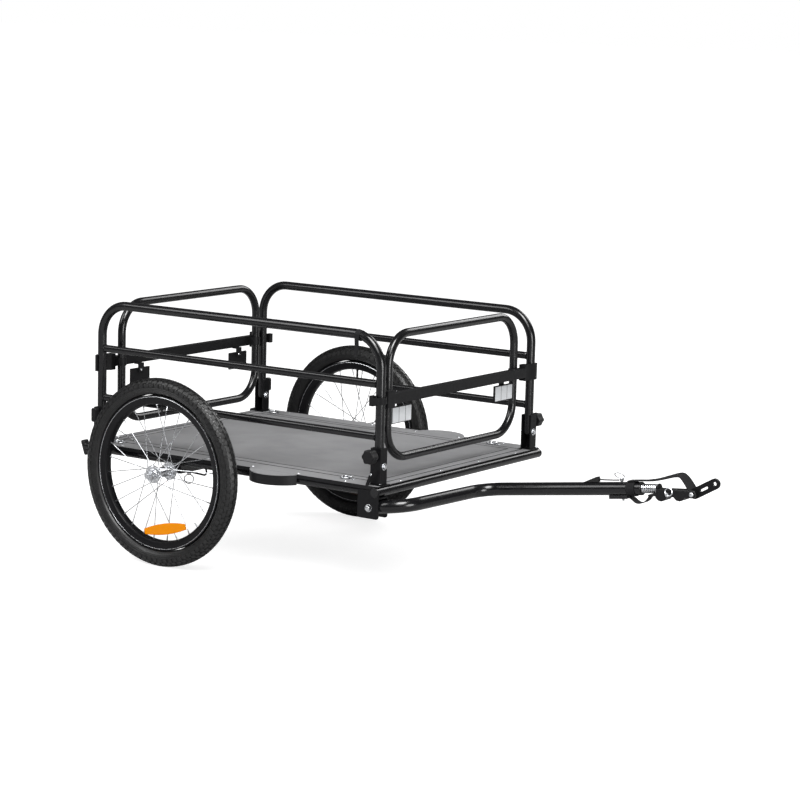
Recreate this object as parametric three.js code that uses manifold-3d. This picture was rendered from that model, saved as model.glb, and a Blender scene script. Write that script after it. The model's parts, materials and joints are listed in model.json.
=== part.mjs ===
// Flat-bed cargo trailer for a bicycle: a fabric deck on a tube frame, two folding side fences, two
// lift-off end gates, two spoked wheels on plug-in axles and a bent tow bar with a sprung hitch.
// Millimetres. X runs forward to the bicycle, Y to the left and Z up. While the pieces are made, the
// ground is Z = 0 and X = 0 is at the rear posts; the finished group is moved to its own origin, the
// middle of its outline on the ground.

import * as THREE from "three";
import { mergeVertices } from "three/addons/utils/BufferGeometryUtils.js";
import Module from "manifold-3d";

const wasm = await Module();
wasm.setup();

// Driving dimensions
const bedLength = 925; // between the centres of the rear and front posts
const bedWidth = 704; // between the centres of the right and left posts
const wheelRadius = 251; // 20 inch wheel with a 1.9 inch tyre
const deckAboveAxle = 41; // the deck's upper face above the wheel axle
const wheelOutset = 85; // a tyre's middle plane outside its fence's plane
const axleBehindMiddle = 179.5; // the wheel axle behind the middle of the bed
const fenceRise = 375; // a fence's top rail above the deck, to the tube's centre
const midRailRise = 254; // its middle rail above the deck
const lowRailRise = 119.5; // its lower rail above the deck
const touchGap = 0.3; // between pieces that rest on or butt against each other
const runGap = 0.5; // round what turns or slides
const overrun = 5; // how far a cutting solid passes the material
const weldLap = 1; // how far fused pieces run into each other

// Frame
const railRadius = 12.5;
const railOutset = 18; // a side rail's centre outside its fence's plane
const railAhead = 12; // the cross rails' centres outside the posts
const railTail = 40; // how far the side rails run on behind the rear posts
const crossRailEnd = 17.5; // the front rail's ends beyond the side rails' centres
const deckThickness = 4; // from the rails to the floor panel's face
const panelRise = 1; // the floor panel stands above the sheet's screwed margins
const panelSide = 63; // those margins along the sides
const panelEnd = 30; // and across the ends
const deckOverhang = 9; // the deck ahead of the end rails' centres
const hemDrop = 11; // the deck's side hems, down over the rails
const hemThickness = 2.5;
const sheetCornerRadius = 14;
const midBeamShare = 0.72; // place of the middle cross beam along the bed
const beamWall = 3;
const tubeSides = 12;

// Side wings, the half-round boards ahead of the wheels
const wingChord = 155;
const wingReach = 52;
const wingThickness = 28;
const wingGap = 5; // between the tyre's front and the wing

// Rear feet, slanted rubber ends on the side rails
const footLength = 14;
const footHeight = 42;
const footWidth = 20;
const footDrop = 4; // its middle below the rail's
const footSlant = THREE.MathUtils.degToRad(20);

// Fences
const postRadius = 12;
const fenceRailRadius = 10;
const fenceBend = 84;
const bendSteps = 4;

// Fold brackets at the four posts
const pivotRise = 46; // the fold's bolt above the deck
const bracketRise = 93; // the bracket's top above the deck
const bracketWall = 3;
const bracketInset = 13; // how far the bracket's walls reach inside the post's centre
const basePlateReach = 20; // base plate round the post's centre, across and along
const pivotBoltRadius = 4;
const boltHeadRadius = 7;
const boltHeadHeight = 4.5;
const lockRise = 74; // the lock knob above the deck
const bossRadius = 9;
const bossLength = 12; // at the front brackets
const rearBossLength = 4;
const plungerRadius = 4;
const knobRadius = 18;
const knobFlute = 1.6;
const knobLobes = 6;
const knobDepth = 24;
const knobBevel = 2;
const tabKnobWidth = 17; // the rear brackets' flat knobs
const tabKnobHeight = 38;
const tabKnobDepth = 16;
const tabKnobCorner = 5;

// End gates
const gateInset = 18.5; // the hoop's plane inside the posts' plane
const gateSide = 58; // the hoop's sides inside the posts
const gateTubeRadius = 11;
const gateTopRise = 370.5;
const gateFootRise = 51;
const gateBend = 80;
const barRise = 213;
const barHeight = 26;
const barDepth = 20;
const clipReach = 46; // where the bar ends and its clip begins, inside the post
const clipHeight = 44;
const clipWall = 5;
const latchWall = 2.5; // the latch jaw's outer lip
const hookReach = 25; // the hook jaw outside the post's centre
const hookHeight = 26;
const bridgeHeight = 18; // the band that joins the hook to its arm, round the post
const bridgeWall = 3.5;
const clipMouth = THREE.MathUtils.degToRad(25); // where the jaw stops short of the post's middle
const saddleWall = 2.5;
const frontReflectorGap = 0.5; // the reflectors inside the hoop's sides
const rearReflectorGap = 29;
const frontReflectorWidth = 86;
const frontReflectorHeight = 44;
const rearReflectorWidth = 78;
const rearReflectorHeight = 48;
const reflectorDepth = 8;
const reflectorDrop = 49; // below the bar's middle
const reflectorCorner = 4;
const tabWidth = 22;
const tabThickness = 3;

// Wheels
const tyreWidth = 48;
const tyreSeatTurn = THREE.MathUtils.degToRad(63); // round the tyre's section, down to the rim
const rimDepth = 25;
const rimWidth = 28;
const rimWall = 2.6;
const rimWellDepth = 7.6;
const hubWidth = 100;
const flangeSpacing = 66;
const flangeRadius = 24;
const flangeThickness = 3.5;
const hubBarrelRadius = 13;
const hubNeckRadius = 15;
const spokeCount = 28;
const spokeRadius = 1.3;
const spokeCrossings = 2;
const spokeSides = 5;
const spokeHoleRadius = 20;
const spokeTipOffset = 3; // half the spread of the spoke ends in the rim
const valveRadius = 3.5;
const valveLength = 26;
const wheelReflectorLength = 142;
const wheelReflectorHeight = 30;
const wheelReflectorEnd = 15; // the height of its blunt ends
const wheelReflectorDepth = 6;
const wheelReflectorOut = 16.5; // its inner face outside the tyre's middle plane
const wheelReflectorPlace = 148; // its middle from the hub
const wheelReflectorTurn = THREE.MathUtils.degToRad(12.5); // ahead of the lowest point
const wheelSegments = 40;

// Axles and their lock pins
const axleRadius = 6;
const axleInside = 100; // how far an axle runs into the beam
const axleCollarRadius = 10;
const axleNutRadius = 9;
const axleNutLength = 8;
const pinRadius = 3;
const pinInset = 48; // the lock pin inside the beam's end
const ringRadius = 12.5;
const ringWire = 1.5;
const ringTurn = THREE.MathUtils.degToRad(38);
const towRingLean = THREE.MathUtils.degToRad(50);
const couplerRingRadius = 10;

// Tow bar: it lies in one plane that rises towards the bicycle
const towPivotBehind = 5; // the pivot bolt behind the front posts
const towPivotDrop = 57.5; // below the deck
const towOutset = 14; // the bar's rear run outside the right fence's plane
const towRise = THREE.MathUtils.degToRad(7.65);
const towRadius = 17;
const towTail = 12; // the bar's end behind its bolt
const towFirstCorner = 93; // from the bolt to the first bend's corner, along the bar's plane
const towSecondCorner = 131; // and to the second
const towTip = 602; // and to the bar's end
const towTipSide = -52; // the bar's last run beside the trailer's centre line
const towBend = 66;
const towBoltRadius = 5;
const towPlateThickness = 3.5;
const towPlateAhead = 30;
const towPlateBehind = 34;
const towPlateTail = 27; // the plates below the bolt
const towPlateHeadroom = 12; // the outer plate's top below the deck
const tipBoreRadius = 13;
const tipBoreDepth = 76;
const towPinBehind = 58; // the ring pin behind the bar's end
const saddleLength = 52;
const saddleSetBack = 10; // its middle behind the pin
const saddleHeight = 8;
const saddleWidth = 20;

// Hitch, in the bar's plane
const springCoilRadius = 10;
const springWireRadius = 2;
const springTurns = 6;
const springLength = 46;
const curlSteps = 8;
const curlSides = 5;
const flexRodRadius = 6;
const seatRadius = 12.5;
const seatThickness = 3;
const couplerLength = 110;
const couplerWidth = 34;
const couplerAxisDrop = 13; // the coupler's pin and fork below the bar's axis
const couplerLobeRadius = 17.5;
const couplerNoseRadius = 10;
const couplerBevel = 2.5;
const couplerTail = 24.5; // its lip under the spring
const couplerPinPlace = 34.6; // its pin, from its rear face
const couplerLobeShares = [0.11, 0.575]; // places of the lobes along its length
const forkSlot = 8;
const forkDepth = 58;
const plateThickness = 6.5;
const plateReach = 62.5; // between the axle plate's two holes
const plateEndRadius = 13.5;
const plateHoleRadius = 5.2;
const plateSlotHalf = 3;
const plateSlotShares = [0.32, 0.62]; // where the slot starts and ends along the plate's reach
const plateTilt = THREE.MathUtils.degToRad(22.5); // above the bar's plane
const plateLift = THREE.MathUtils.degToRad(20); // how much further it tilts up
const platePivotRadius = 4;

// Safety strap and pin tether, in the bar's plane
const strapWidth = 24;
const strapThickness = 2;
const strapCollarBehind = 28; // the collar's middle behind the bar's tip
const strapRises = [1.5, 5, 17]; // of the upper band's corners above the collar
const strapPlaces = [-5, 26, 71]; // of those corners from the coupler's rear face
const strapBend = 9;
const loopDip = 14; // the loose loop below the collar
const loopPlaces = [20, 8]; // of the loop's lower corners behind the bar's tip
const loopEndAhead = 17; // its end ahead of the tip, at the coupler's lip
const loopBend = 7;
const tabLength = 44;
const tabRise = 13;
const tabTopLength = 6;
const tabBehind = 66; // the tab's front end behind the ring pin
const tetherRadius = 1.8;
const tetherPlaces = [70, 52, 24]; // of the cord's corners behind the ring pin
const tetherRises = [8, 5.5, 4.5]; // of those corners above the bar
const tetherBend = 10;

// Tie-down rings on the deck and the strap on the fence
const tieRingRadius = 13.5;
const tieRingWire = 2;
const tieRingLift = 3.4; // its clip's bore above the deck
const tieRingDip = THREE.MathUtils.degToRad(2); // its free side lies lower than its clip
const tieClipWidth = 6;
const tieClipWall = 1.5;
const tieRingBehind = 97; // the front pair behind the front posts
const tieRingAhead = 42; // the rear pair ahead of the rear posts
const tieRingInside = 12; // inside the fences' planes
const tieStrapWidth = 15;
const tieStrapTail = 44;
const tieStrapTailWidth = 12;

// Places that follow from the sizes
const deckTop = wheelRadius + deckAboveAxle;
const hemTop = deckTop - panelRise;
const axleAhead = bedLength / 2 - axleBehindMiddle;
const trackWidth = bedWidth + 2 * wheelOutset;
const tyreHalf = tyreWidth / 2;
const rimSeat = wheelRadius - tyreHalf * (1 + Math.sin(tyreSeatTurn)); // where the tyre meets the rim
const rimInner = rimSeat - rimDepth;
const wingAhead = axleAhead + wheelRadius + wingGap + wingChord / 2;
const railTop = deckTop - deckThickness - touchGap;
const railHeight = railTop - railRadius;
const railSide = bedWidth / 2 + railOutset;
const frontRailAt = bedLength + railAhead;
const rearRailAt = -railAhead;
const beamHalf = railHeight - railRadius - touchGap - wheelRadius;
const pivotHeight = deckTop + pivotRise;
const topRailHeight = deckTop + fenceRise;
const bracketHalf = postRadius + runGap + bracketWall;
const webOut = postRadius + runGap;
const hoopHalf = bedWidth / 2 - gateSide;
const barHeightAt = deckTop + barRise;
const towPivot = new THREE.Vector3(
  bedLength - towPivotBehind,
  -bedWidth / 2 - towOutset,
  deckTop - towPivotDrop,
);

// Materials
const blackPaint = { color: 0x16171a, roughness: 0.32, metalness: 0.35 };
const blackPlastic = { color: 0x1b1c1e, roughness: 0.55, metalness: 0 };
const blackRubber = { color: 0x1d1d1e, roughness: 0.85, metalness: 0 };
const blackWebbing = { color: 0x141416, roughness: 0.95, metalness: 0 };
const greyFabric = { color: 0x7d7d80, roughness: 0.9, metalness: 0 };
const brightSteel = { color: 0xc4c7ca, roughness: 0.28, metalness: 0.95 };
const blackRim = { color: 0x232427, roughness: 0.3, metalness: 0.8 };
const clearLens = { color: 0xf2f4f5, roughness: 0.15, metalness: 0.1 };
const redLens = { color: 0xb4141a, roughness: 0.2, metalness: 0 };
const orangeLens = { color: 0xff9a0a, roughness: 0.25, metalness: 0 };

// Solids: closed meshes are joined and cut, and come back as geometries

function toSolid(geometry) {
  const bare = geometry.clone();
  bare.deleteAttribute("normal");
  bare.deleteAttribute("uv");
  const merged = mergeVertices(bare, 1e-3);
  return new wasm.Manifold(
    new wasm.Mesh({
      numProp: 3,
      vertProperties: merged.attributes.position.array,
      triVerts: new Uint32Array(merged.index.array),
    }),
  );
}

function toGeometry(solid) {
  const mesh = solid.getMesh();
  const geometry = new THREE.BufferGeometry();
  geometry.setAttribute("position", new THREE.BufferAttribute(mesh.vertProperties, 3));
  geometry.setIndex(new THREE.BufferAttribute(mesh.triVerts, 1));
  geometry.computeVertexNormals();
  return geometry;
}

function join(...geometries) {
  return toGeometry(geometries.map(toSolid).reduce((sum, next) => sum.add(next)));
}

function cut(geometry, ...tools) {
  return toGeometry(tools.map(toSolid).reduce((left, tool) => left.subtract(tool), toSolid(geometry)));
}

// A straight rod along one axis, centred on a point.
function rod(axis, radius, length, centre = [0, 0, 0], sides = tubeSides) {
  const geometry = new THREE.CylinderGeometry(radius, radius, length, sides);
  if (axis === "x") geometry.rotateZ(-Math.PI / 2);
  if (axis === "z") geometry.rotateX(Math.PI / 2);
  return geometry.translate(...centre);
}

function block(size, centre) {
  return new THREE.BoxGeometry(...size).translate(...centre);
}

// A rod from one point to another.
function rodBetween(from, to, radius, sides) {
  const span = new THREE.Vector3().subVectors(to, from);
  const geometry = new THREE.CylinderGeometry(radius, radius, span.length(), sides);
  const up = new THREE.Vector3(0, 1, 0);
  geometry.applyQuaternion(new THREE.Quaternion().setFromUnitVectors(up, span.clone().normalize()));
  return geometry.translate(...new THREE.Vector3().addVectors(from, to).multiplyScalar(0.5));
}

// A closed profile of [radius, height] points turned about Y, whichever way round it was written.
function turned(profile, segments) {
  const ring = [...profile, profile[0]].map(([radius, height]) => new THREE.Vector2(radius, height));
  if (THREE.ShapeUtils.area(ring) > 0) ring.reverse();
  return new THREE.LatheGeometry(ring.reverse(), segments);
}

// A flat outline of [x, y] points, thickened along Z and centred on it.
function plate(outline, thickness, holes = [], bevel = 0) {
  const shape = outline.isShape ? outline : new THREE.Shape(outline.map(([x, y]) => new THREE.Vector2(x, y)));
  shape.holes.push(...holes);
  const geometry = new THREE.ExtrudeGeometry(shape, {
    depth: thickness - 2 * bevel,
    curveSegments: bendSteps,
    bevelEnabled: bevel > 0,
    bevelThickness: bevel,
    bevelSize: bevel,
    bevelOffset: -bevel,
    bevelSegments: 1,
  });
  return geometry.translate(0, 0, bevel - thickness / 2);
}

// The same outline standing upright, its x along X, its y along Z and its thickness along Y.
function uprightPlate(outline, thickness, holes, bevel) {
  return plate(outline, thickness, holes, bevel).rotateX(Math.PI / 2);
}

function roundHole(x, y, radius, steps = tubeSides) {
  const hole = new THREE.Path();
  for (let i = 0; i < steps; i += 1) {
    const turn = (-2 * Math.PI * i) / steps;
    const point = [x + radius * Math.cos(turn), y + radius * Math.sin(turn)];
    if (i === 0) hole.moveTo(...point);
    else hole.lineTo(...point);
  }
  hole.closePath();
  return hole;
}

function arcPoints(x, y, radius, from, to, steps) {
  return Array.from({ length: steps + 1 }, (_, i) => {
    const turn = from + ((to - from) * i) / steps;
    return [x + radius * Math.cos(turn), y + radius * Math.sin(turn)];
  });
}

// A rectangle with round corners, centred on the origin.
function roundedRectangle(width, height, radius, steps = 3) {
  const x = width / 2 - radius;
  const y = height / 2 - radius;
  const quarter = Math.PI / 2;
  return [
    ...arcPoints(x, y, radius, 0, quarter, steps),
    ...arcPoints(-x, y, radius, quarter, 2 * quarter, steps),
    ...arcPoints(-x, -y, radius, 2 * quarter, 3 * quarter, steps),
    ...arcPoints(x, -y, radius, 3 * quarter, 4 * quarter, steps),
  ];
}

// A route of straight runs joined by arcs, with stations only where its direction changes.
class BentRoute extends THREE.Curve {
  constructor(corners, bendRadius, stepsPerBend = bendSteps) {
    super();
    this.stations = [corners[0]];
    for (let i = 1; i < corners.length - 1; i += 1) {
      this.addBend(corners[i - 1], corners[i], corners[i + 1], bendRadius, stepsPerBend);
    }
    this.stations.push(corners[corners.length - 1]);
  }

  addBend(before, corner, after, radius, steps) {
    const back = new THREE.Vector3().subVectors(before, corner).normalize();
    const ahead = new THREE.Vector3().subVectors(after, corner).normalize();
    const half = back.angleTo(ahead) / 2;
    const inward = new THREE.Vector3().addVectors(back, ahead).normalize();
    const centre = corner.clone().addScaledVector(inward, radius / Math.sin(half));
    const start = corner.clone().addScaledVector(back, radius / Math.tan(half)).sub(centre);
    const axis = new THREE.Vector3().crossVectors(ahead, back).normalize();
    const turn = Math.PI - 2 * half;
    for (let i = 0; i <= steps; i += 1) {
      this.stations.push(start.clone().applyAxisAngle(axis, (turn * i) / steps).add(centre));
    }
  }

  getPoint(t, target = new THREE.Vector3()) {
    const place = t * (this.stations.length - 1);
    const index = Math.min(Math.floor(place), this.stations.length - 2);
    return target.lerpVectors(this.stations[index], this.stations[index + 1], place - index);
  }

  getPointAt(u, target) {
    return this.getPoint(u, target);
  }

  getTangentAt(u, target = new THREE.Vector3()) {
    const last = this.stations.length - 1;
    const index = Math.round(u * last);
    const before = this.stations[Math.max(index - 1, 0)];
    const here = this.stations[index];
    const after = this.stations[Math.min(index + 1, last)];
    const incoming = new THREE.Vector3().subVectors(here, before).normalize();
    const outgoing = new THREE.Vector3().subVectors(after, here).normalize();
    return target.addVectors(incoming, outgoing).normalize();
  }
}

function sweep(section, route) {
  return new THREE.ExtrudeGeometry(section, {
    steps: route.stations.length - 1,
    extrudePath: route,
    curveSegments: bendSteps,
  });
}

// A flat band that follows a route in the XZ plane, its width along Y.
function ribbon(route, thickness, width) {
  const { stations } = route;
  const edge = (side) =>
    stations.map((point, i) => {
      const tangent = route.getTangentAt(i / (stations.length - 1));
      return [point.x - side * tangent.z * thickness / 2, point.z + side * tangent.x * thickness / 2];
    });
  return uprightPlate([...edge(1), ...edge(-1).reverse()], width).translate(0, stations[0].y, 0);
}

function roundSection(radius, sides = tubeSides) {
  return new THREE.Shape(
    Array.from({ length: sides }, (_, i) => {
      const turn = (2 * Math.PI * i) / sides;
      return new THREE.Vector2(radius * Math.cos(turn), radius * Math.sin(turn));
    }),
  );
}

function vector(x, y, z) {
  return new THREE.Vector3(x, y, z);
}

// The whole trailer, and the group that lies in the tow bar's plane
const trailer = new THREE.Group();
const towPlane = new THREE.Group();
towPlane.position.copy(towPivot);
towPlane.rotation.y = -towRise;
trailer.add(towPlane);

function addPiece(name, geometry, look, group = trailer) {
  const piece = new THREE.Mesh(geometry, new THREE.MeshStandardMaterial(look));
  piece.name = name;
  group.add(piece);
  return piece;
}

// The two sides and the two ends, with the sign of their axis
const sides = [
  ["right", -1],
  ["left", 1],
];
const ends = [
  ["rear", -1, 0],
  ["front", 1, bedLength],
];

// The tie-down rings: end, side and place on the deck
const tieRingPlaces = ends.flatMap(([endName, end]) =>
  sides.map(([sideName, side]) => [
    endName + "_" + sideName,
    end,
    end > 0 ? bedLength - tieRingBehind : tieRingAhead,
    side * (bedWidth / 2 - tieRingInside),
  ]),
);

// Frame tubes under the deck

function sideRail(side) {
  const length = railTail + frontRailAt;
  const rail = rod("x", railRadius, length, [frontRailAt - length / 2, side * railSide, railHeight], 16);
  const seat = rod("y", railRadius + touchGap, bedWidth, [frontRailAt, side * railSide, railHeight], 16);
  const past = block(
    [railRadius + overrun, 2 * railRadius + overrun, 2 * railRadius + overrun],
    [frontRailAt + (railRadius + overrun) / 2, side * railSide, railHeight],
  );
  return cut(rail, seat, past);
}

function crossRail(x, halfLength, seated) {
  const rail = rod("y", railRadius, 2 * halfLength, [x, 0, railHeight], 16);
  if (!seated) return rail;
  const seats = sides.map(([, side]) =>
    rod("x", railRadius + touchGap, 6 * railRadius, [x, side * railSide, railHeight], 16),
  );
  const pastEnds = sides.map(([, side]) =>
    block([3 * railRadius, railRadius + overrun, 3 * railRadius], [
      x,
      side * (railSide + (railRadius + overrun) / 2),
      railHeight,
    ]),
  );
  return cut(rail, ...seats, ...pastEnds);
}

// The axle beam: a square tube with a socket for an axle and a cross hole for its pin at each end.
function axleBeam() {
  const halfLength = railSide;
  const beam = block([2 * beamHalf, 2 * halfLength, 2 * beamHalf], [axleAhead, 0, wheelRadius]);
  const cuts = sides.flatMap(([, side]) => [
    rod(
      "y",
      axleRadius + runGap,
      axleInside + runGap + overrun,
      [axleAhead, side * (halfLength - (axleInside + runGap - overrun) / 2), wheelRadius],
    ),
    rod("z", pinRadius + runGap, 2 * beamHalf + overrun, [
      axleAhead,
      side * (halfLength - pinInset),
      wheelRadius,
    ]),
  ]);
  return cut(beam, ...cuts);
}

function midBeam() {
  const half = railSide - railRadius - touchGap;
  const height = 2 * railRadius - beamWall;
  const lift = railTop - height / 2;
  const beam = block([2 * railRadius, 2 * half, height], [bedLength * midBeamShare, 0, lift]);
  const groove = block(
    [2 * (railRadius - beamWall), 2 * half + overrun, height - beamWall],
    [bedLength * midBeamShare, 0, lift - beamWall],
  );
  return cut(beam, groove);
}

// The deck: a coated sheet over the rails with hems down its sides, notched round the fold brackets.
function deckSheet() {
  const rearEdge = rearRailAt - deckOverhang;
  const frontEdge = frontRailAt + deckOverhang;
  const half = railSide + railRadius + touchGap + hemThickness;
  const length = frontEdge - rearEdge;
  const middle = (frontEdge + rearEdge) / 2;
  const margin = deckThickness - panelRise;
  const sheet = plate(roundedRectangle(length, 2 * half, sheetCornerRadius), margin);
  sheet.translate(middle, 0, hemTop - margin / 2);
  const panelHeight = panelRise + weldLap;
  const panel = plate(
    roundedRectangle(length - 2 * panelEnd, 2 * (half - panelSide), sheetCornerRadius),
    panelHeight,
  ).translate(middle, 0, deckTop - panelHeight / 2);
  const hemHeight = hemDrop - deckThickness + weldLap;
  const hems = sides.map(([, side]) =>
    block([length - 4 * sheetCornerRadius, hemThickness, hemHeight], [
      middle,
      side * (half - hemThickness / 2),
      deckTop - hemDrop + hemHeight / 2,
    ]),
  );
  const reach = basePlateReach + runGap;
  const notches = sides.flatMap(([, side]) =>
    ends.map(([, , x]) =>
      block([2 * reach, 2 * reach, 3 * deckThickness], [x, (side * bedWidth) / 2, deckTop]),
    ),
  );
  const clips = tieRingPlaces.map(([, , x, y]) => tieClip().translate(x, y, hemTop));
  return cut(join(sheet, panel, ...hems, ...clips), ...notches);
}

// A half-round board that stands out from the side rail ahead of the wheel.
function sideWing(side) {
  const radius = (wingChord ** 2 / 4 + wingReach ** 2) / (2 * wingReach);
  const halfTurn = Math.asin(wingChord / 2 / radius);
  const quarter = Math.PI / 2;
  const outline = arcPoints(0, wingReach - radius, radius, quarter - halfTurn, quarter + halfTurn, 16);
  const foot = [
    [-wingChord / 2, -railRadius],
    [wingChord / 2, -railRadius],
  ];
  const wing = plate([...outline, ...foot], wingThickness, [], couplerBevel);
  if (side < 0) wing.rotateX(Math.PI);
  wing.translate(wingAhead, side * (railSide + railRadius), hemTop - wingThickness / 2);
  const seat = rod("x", railRadius + touchGap, bedLength, [wingAhead, side * railSide, railHeight], 16);
  const hemReach = railRadius + touchGap + hemThickness + touchGap;
  const hemDepth = hemDrop - deckThickness;
  const hem = block(
    [bedLength, hemReach, 2 * hemDepth],
    [wingAhead, side * (railSide + hemReach / 2), railTop],
  );
  const inner = block(
    [bedLength, 2 * railRadius, 4 * railRadius],
    [wingAhead, side * (railSide - railRadius), railHeight],
  );
  return cut(wing, seat, hem, inner);
}

// A slanted rubber foot plugged on a side rail's rear end.
function rearFoot(side) {
  const outline = roundedRectangle(footLength, footHeight, footLength / 3);
  const foot = uprightPlate(outline, footWidth, [], footLength / 6).rotateY(-footSlant);
  foot.translate(-railTail, side * railSide, railHeight - footDrop);
  const reach = 2 * (railTail + touchGap);
  const socket = rod("x", railRadius + touchGap, reach, [0, side * railSide, railHeight], 16);
  return cut(foot, socket);
}

// Fold brackets: a channel on a base plate, open inwards, with the pivot bolt across it.
// Local axes: x outwards along X, y outwards across the trailer, z up from the rails' tops.

function foldBracket(bossReach) {
  const height = deckTop + bracketRise - railTop - touchGap;
  const depth = webOut + bracketWall + bracketInset;
  const outer = block([2 * bracketHalf, depth, height], [0, webOut + bracketWall - depth / 2, height / 2]);
  const inner = block([2 * webOut, depth, height], [0, webOut - depth / 2, height / 2 + bracketWall]);
  const base = plate(roundedRectangle(2 * basePlateReach, 2 * basePlateReach, bracketWall), bracketWall);
  base.translate(0, 0, bracketWall / 2);
  const lockAt = lockRise + deckThickness;
  const bossAt = webOut + bracketWall + (bossReach - weldLap) / 2;
  const boss = rod("y", bossRadius, bossReach + weldLap, [0, bossAt, lockAt]);
  const bore = rod("y", plungerRadius + runGap, 4 * bossLength, [0, webOut + bossLength, lockAt]);
  const boltAt = pivotRise + deckThickness;
  const headAt = bracketHalf + boltHeadHeight / 2 - weldLap / 2;
  const shaft = rod("x", pivotBoltRadius, 2 * bracketHalf, [0, 0, boltAt]);
  const head = rod("x", boltHeadRadius, boltHeadHeight + weldLap, [headAt, 0, boltAt], 6);
  const nut = rod("x", boltHeadRadius, boltHeadHeight + weldLap, [-headAt, 0, boltAt], 6);
  return join(cut(join(outer, base, boss), inner, bore), shaft, head, nut);
}

// A front knob's fluted outline.
function flutedOutline() {
  return Array.from({ length: 4 * knobLobes }, (_, i) => {
    const turn = (Math.PI * i) / (2 * knobLobes);
    const radius = knobRadius + knobFlute * Math.cos(knobLobes * turn);
    return [radius * Math.cos(turn), radius * Math.sin(turn)];
  });
}

// A lock knob pulls its plunger out of the bracket's web.
function lockKnob(outline, depth, bossReach) {
  const seat = webOut + bracketWall + bossReach + touchGap;
  const grip = uprightPlate(outline, depth, [], knobBevel).translate(0, seat + depth / 2, 0);
  const plungerTip = webOut + touchGap;
  const plungerLength = seat - plungerTip + depth / 2;
  return join(grip, rod("y", plungerRadius, plungerLength, [0, plungerTip + plungerLength / 2, 0]));
}

// Fences: a hoop hinged on the pivot bolts, and two rails between its posts

function fenceHoop(side) {
  const y = (side * bedWidth) / 2;
  const route = new BentRoute(
    [
      vector(0, y, pivotHeight),
      vector(0, y, topRailHeight),
      vector(bedLength, y, topRailHeight),
      vector(bedLength, y, pivotHeight),
    ],
    fenceBend,
  );
  const rounded = ends.map(([, , x]) =>
    new THREE.SphereGeometry(postRadius - touchGap, tubeSides, 6)
      .rotateX(Math.PI / 2)
      .translate(x, y, pivotHeight),
  );
  const holes = ends.map(([, , x]) =>
    rod("x", pivotBoltRadius + runGap, 4 * postRadius, [x, y, pivotHeight]),
  );
  return cut(join(sweep(roundSection(postRadius), route), ...rounded), ...holes);
}

function fenceRail(side, rise) {
  const y = (side * bedWidth) / 2;
  const rail = rod("x", fenceRailRadius, bedLength, [bedLength / 2, y, deckTop + rise]);
  const seats = ends.map(([, , x]) =>
    rod("z", postRadius + touchGap, 4 * postRadius, [x, y, deckTop + rise], 16),
  );
  const past = ends.map(([, end, x]) =>
    block([2 * postRadius, 4 * postRadius, 4 * postRadius], [x + end * postRadius, y, deckTop + rise]),
  );
  return cut(rail, ...seats, ...past);
}

// End gates: a closed hoop, a bar across its outer face with a jaw for each post, and two reflectors

function gateHoop(end, x) {
  const plane = x - end * gateInset;
  const top = deckTop + gateTopRise;
  const foot = deckTop + gateFootRise;
  const middle = (top + foot) / 2;
  const upper = new BentRoute(
    [
      vector(plane, -hoopHalf, middle - weldLap),
      vector(plane, -hoopHalf, top),
      vector(plane, hoopHalf, top),
      vector(plane, hoopHalf, middle - weldLap),
    ],
    gateBend,
  );
  const lower = new BentRoute(
    [
      vector(plane, -hoopHalf, middle + weldLap),
      vector(plane, -hoopHalf, foot),
      vector(plane, hoopHalf, foot),
      vector(plane, hoopHalf, middle + weldLap),
    ],
    gateBend,
  );
  return join(sweep(roundSection(gateTubeRadius), upper), sweep(roundSection(gateTubeRadius), lower));
}

// The plans of the two jaws: x across the trailer from the post outwards, y out of the bed.

// The latch jaw: an arm that runs on into half a clasp with a short lip.
function latchPlans(barInner, barOuter) {
  const throat = postRadius + runGap;
  const lip = throat * Math.sin(clipMouth);
  const ear = throat + latchWall;
  const mouth = arcPoints(0, 0, throat, Math.PI - clipMouth, clipMouth, 8);
  const crown = arcPoints(0, 0, throat + clipWall, Math.PI / 4, (3 * Math.PI) / 4, 4);
  const clasp = [
    [-clipReach, barInner],
    [-(clipReach + throat) / 2, barInner],
    [-throat - clipWall / 2, lip - touchGap],
    ...mouth,
    [ear, lip],
    [ear, crown[0][1]],
    ...crown,
    [-clipReach, barOuter],
  ];
  return [[clasp, clipHeight]];
}

// The hook jaw: the same arm, a narrow band round the post and a block outside it.
function hookPlans(barInner, barOuter) {
  const throat = postRadius + runGap;
  const lip = throat * Math.sin(clipMouth);
  const back = -throat - clipWall;
  const mouth = arcPoints(0, 0, throat, Math.PI - clipMouth, clipMouth, 8);
  const crown = arcPoints(0, 0, throat + bridgeWall, Math.PI / 4, (3 * Math.PI) / 4, 4);
  const arm = [
    [-clipReach, barInner],
    [-(clipReach + throat) / 2, barInner],
    [-throat - clipWall / 2, lip - touchGap],
    [-throat - clipWall / 2, barOuter],
    [-clipReach, barOuter],
  ];
  const band = [
    [back, lip],
    ...mouth,
    [hookReach - bridgeWall, lip],
    [hookReach - bridgeWall, back],
    [hookReach, back],
    [hookReach, crown[0][1]],
    ...crown,
    [back, crown[0][1]],
  ];
  const hook = [
    [throat, back],
    [hookReach, back],
    [hookReach, -lip],
    [throat, -lip],
  ];
  return [
    [arm, clipHeight],
    [band, bridgeHeight],
    [hook, hookHeight],
  ];
}

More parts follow.
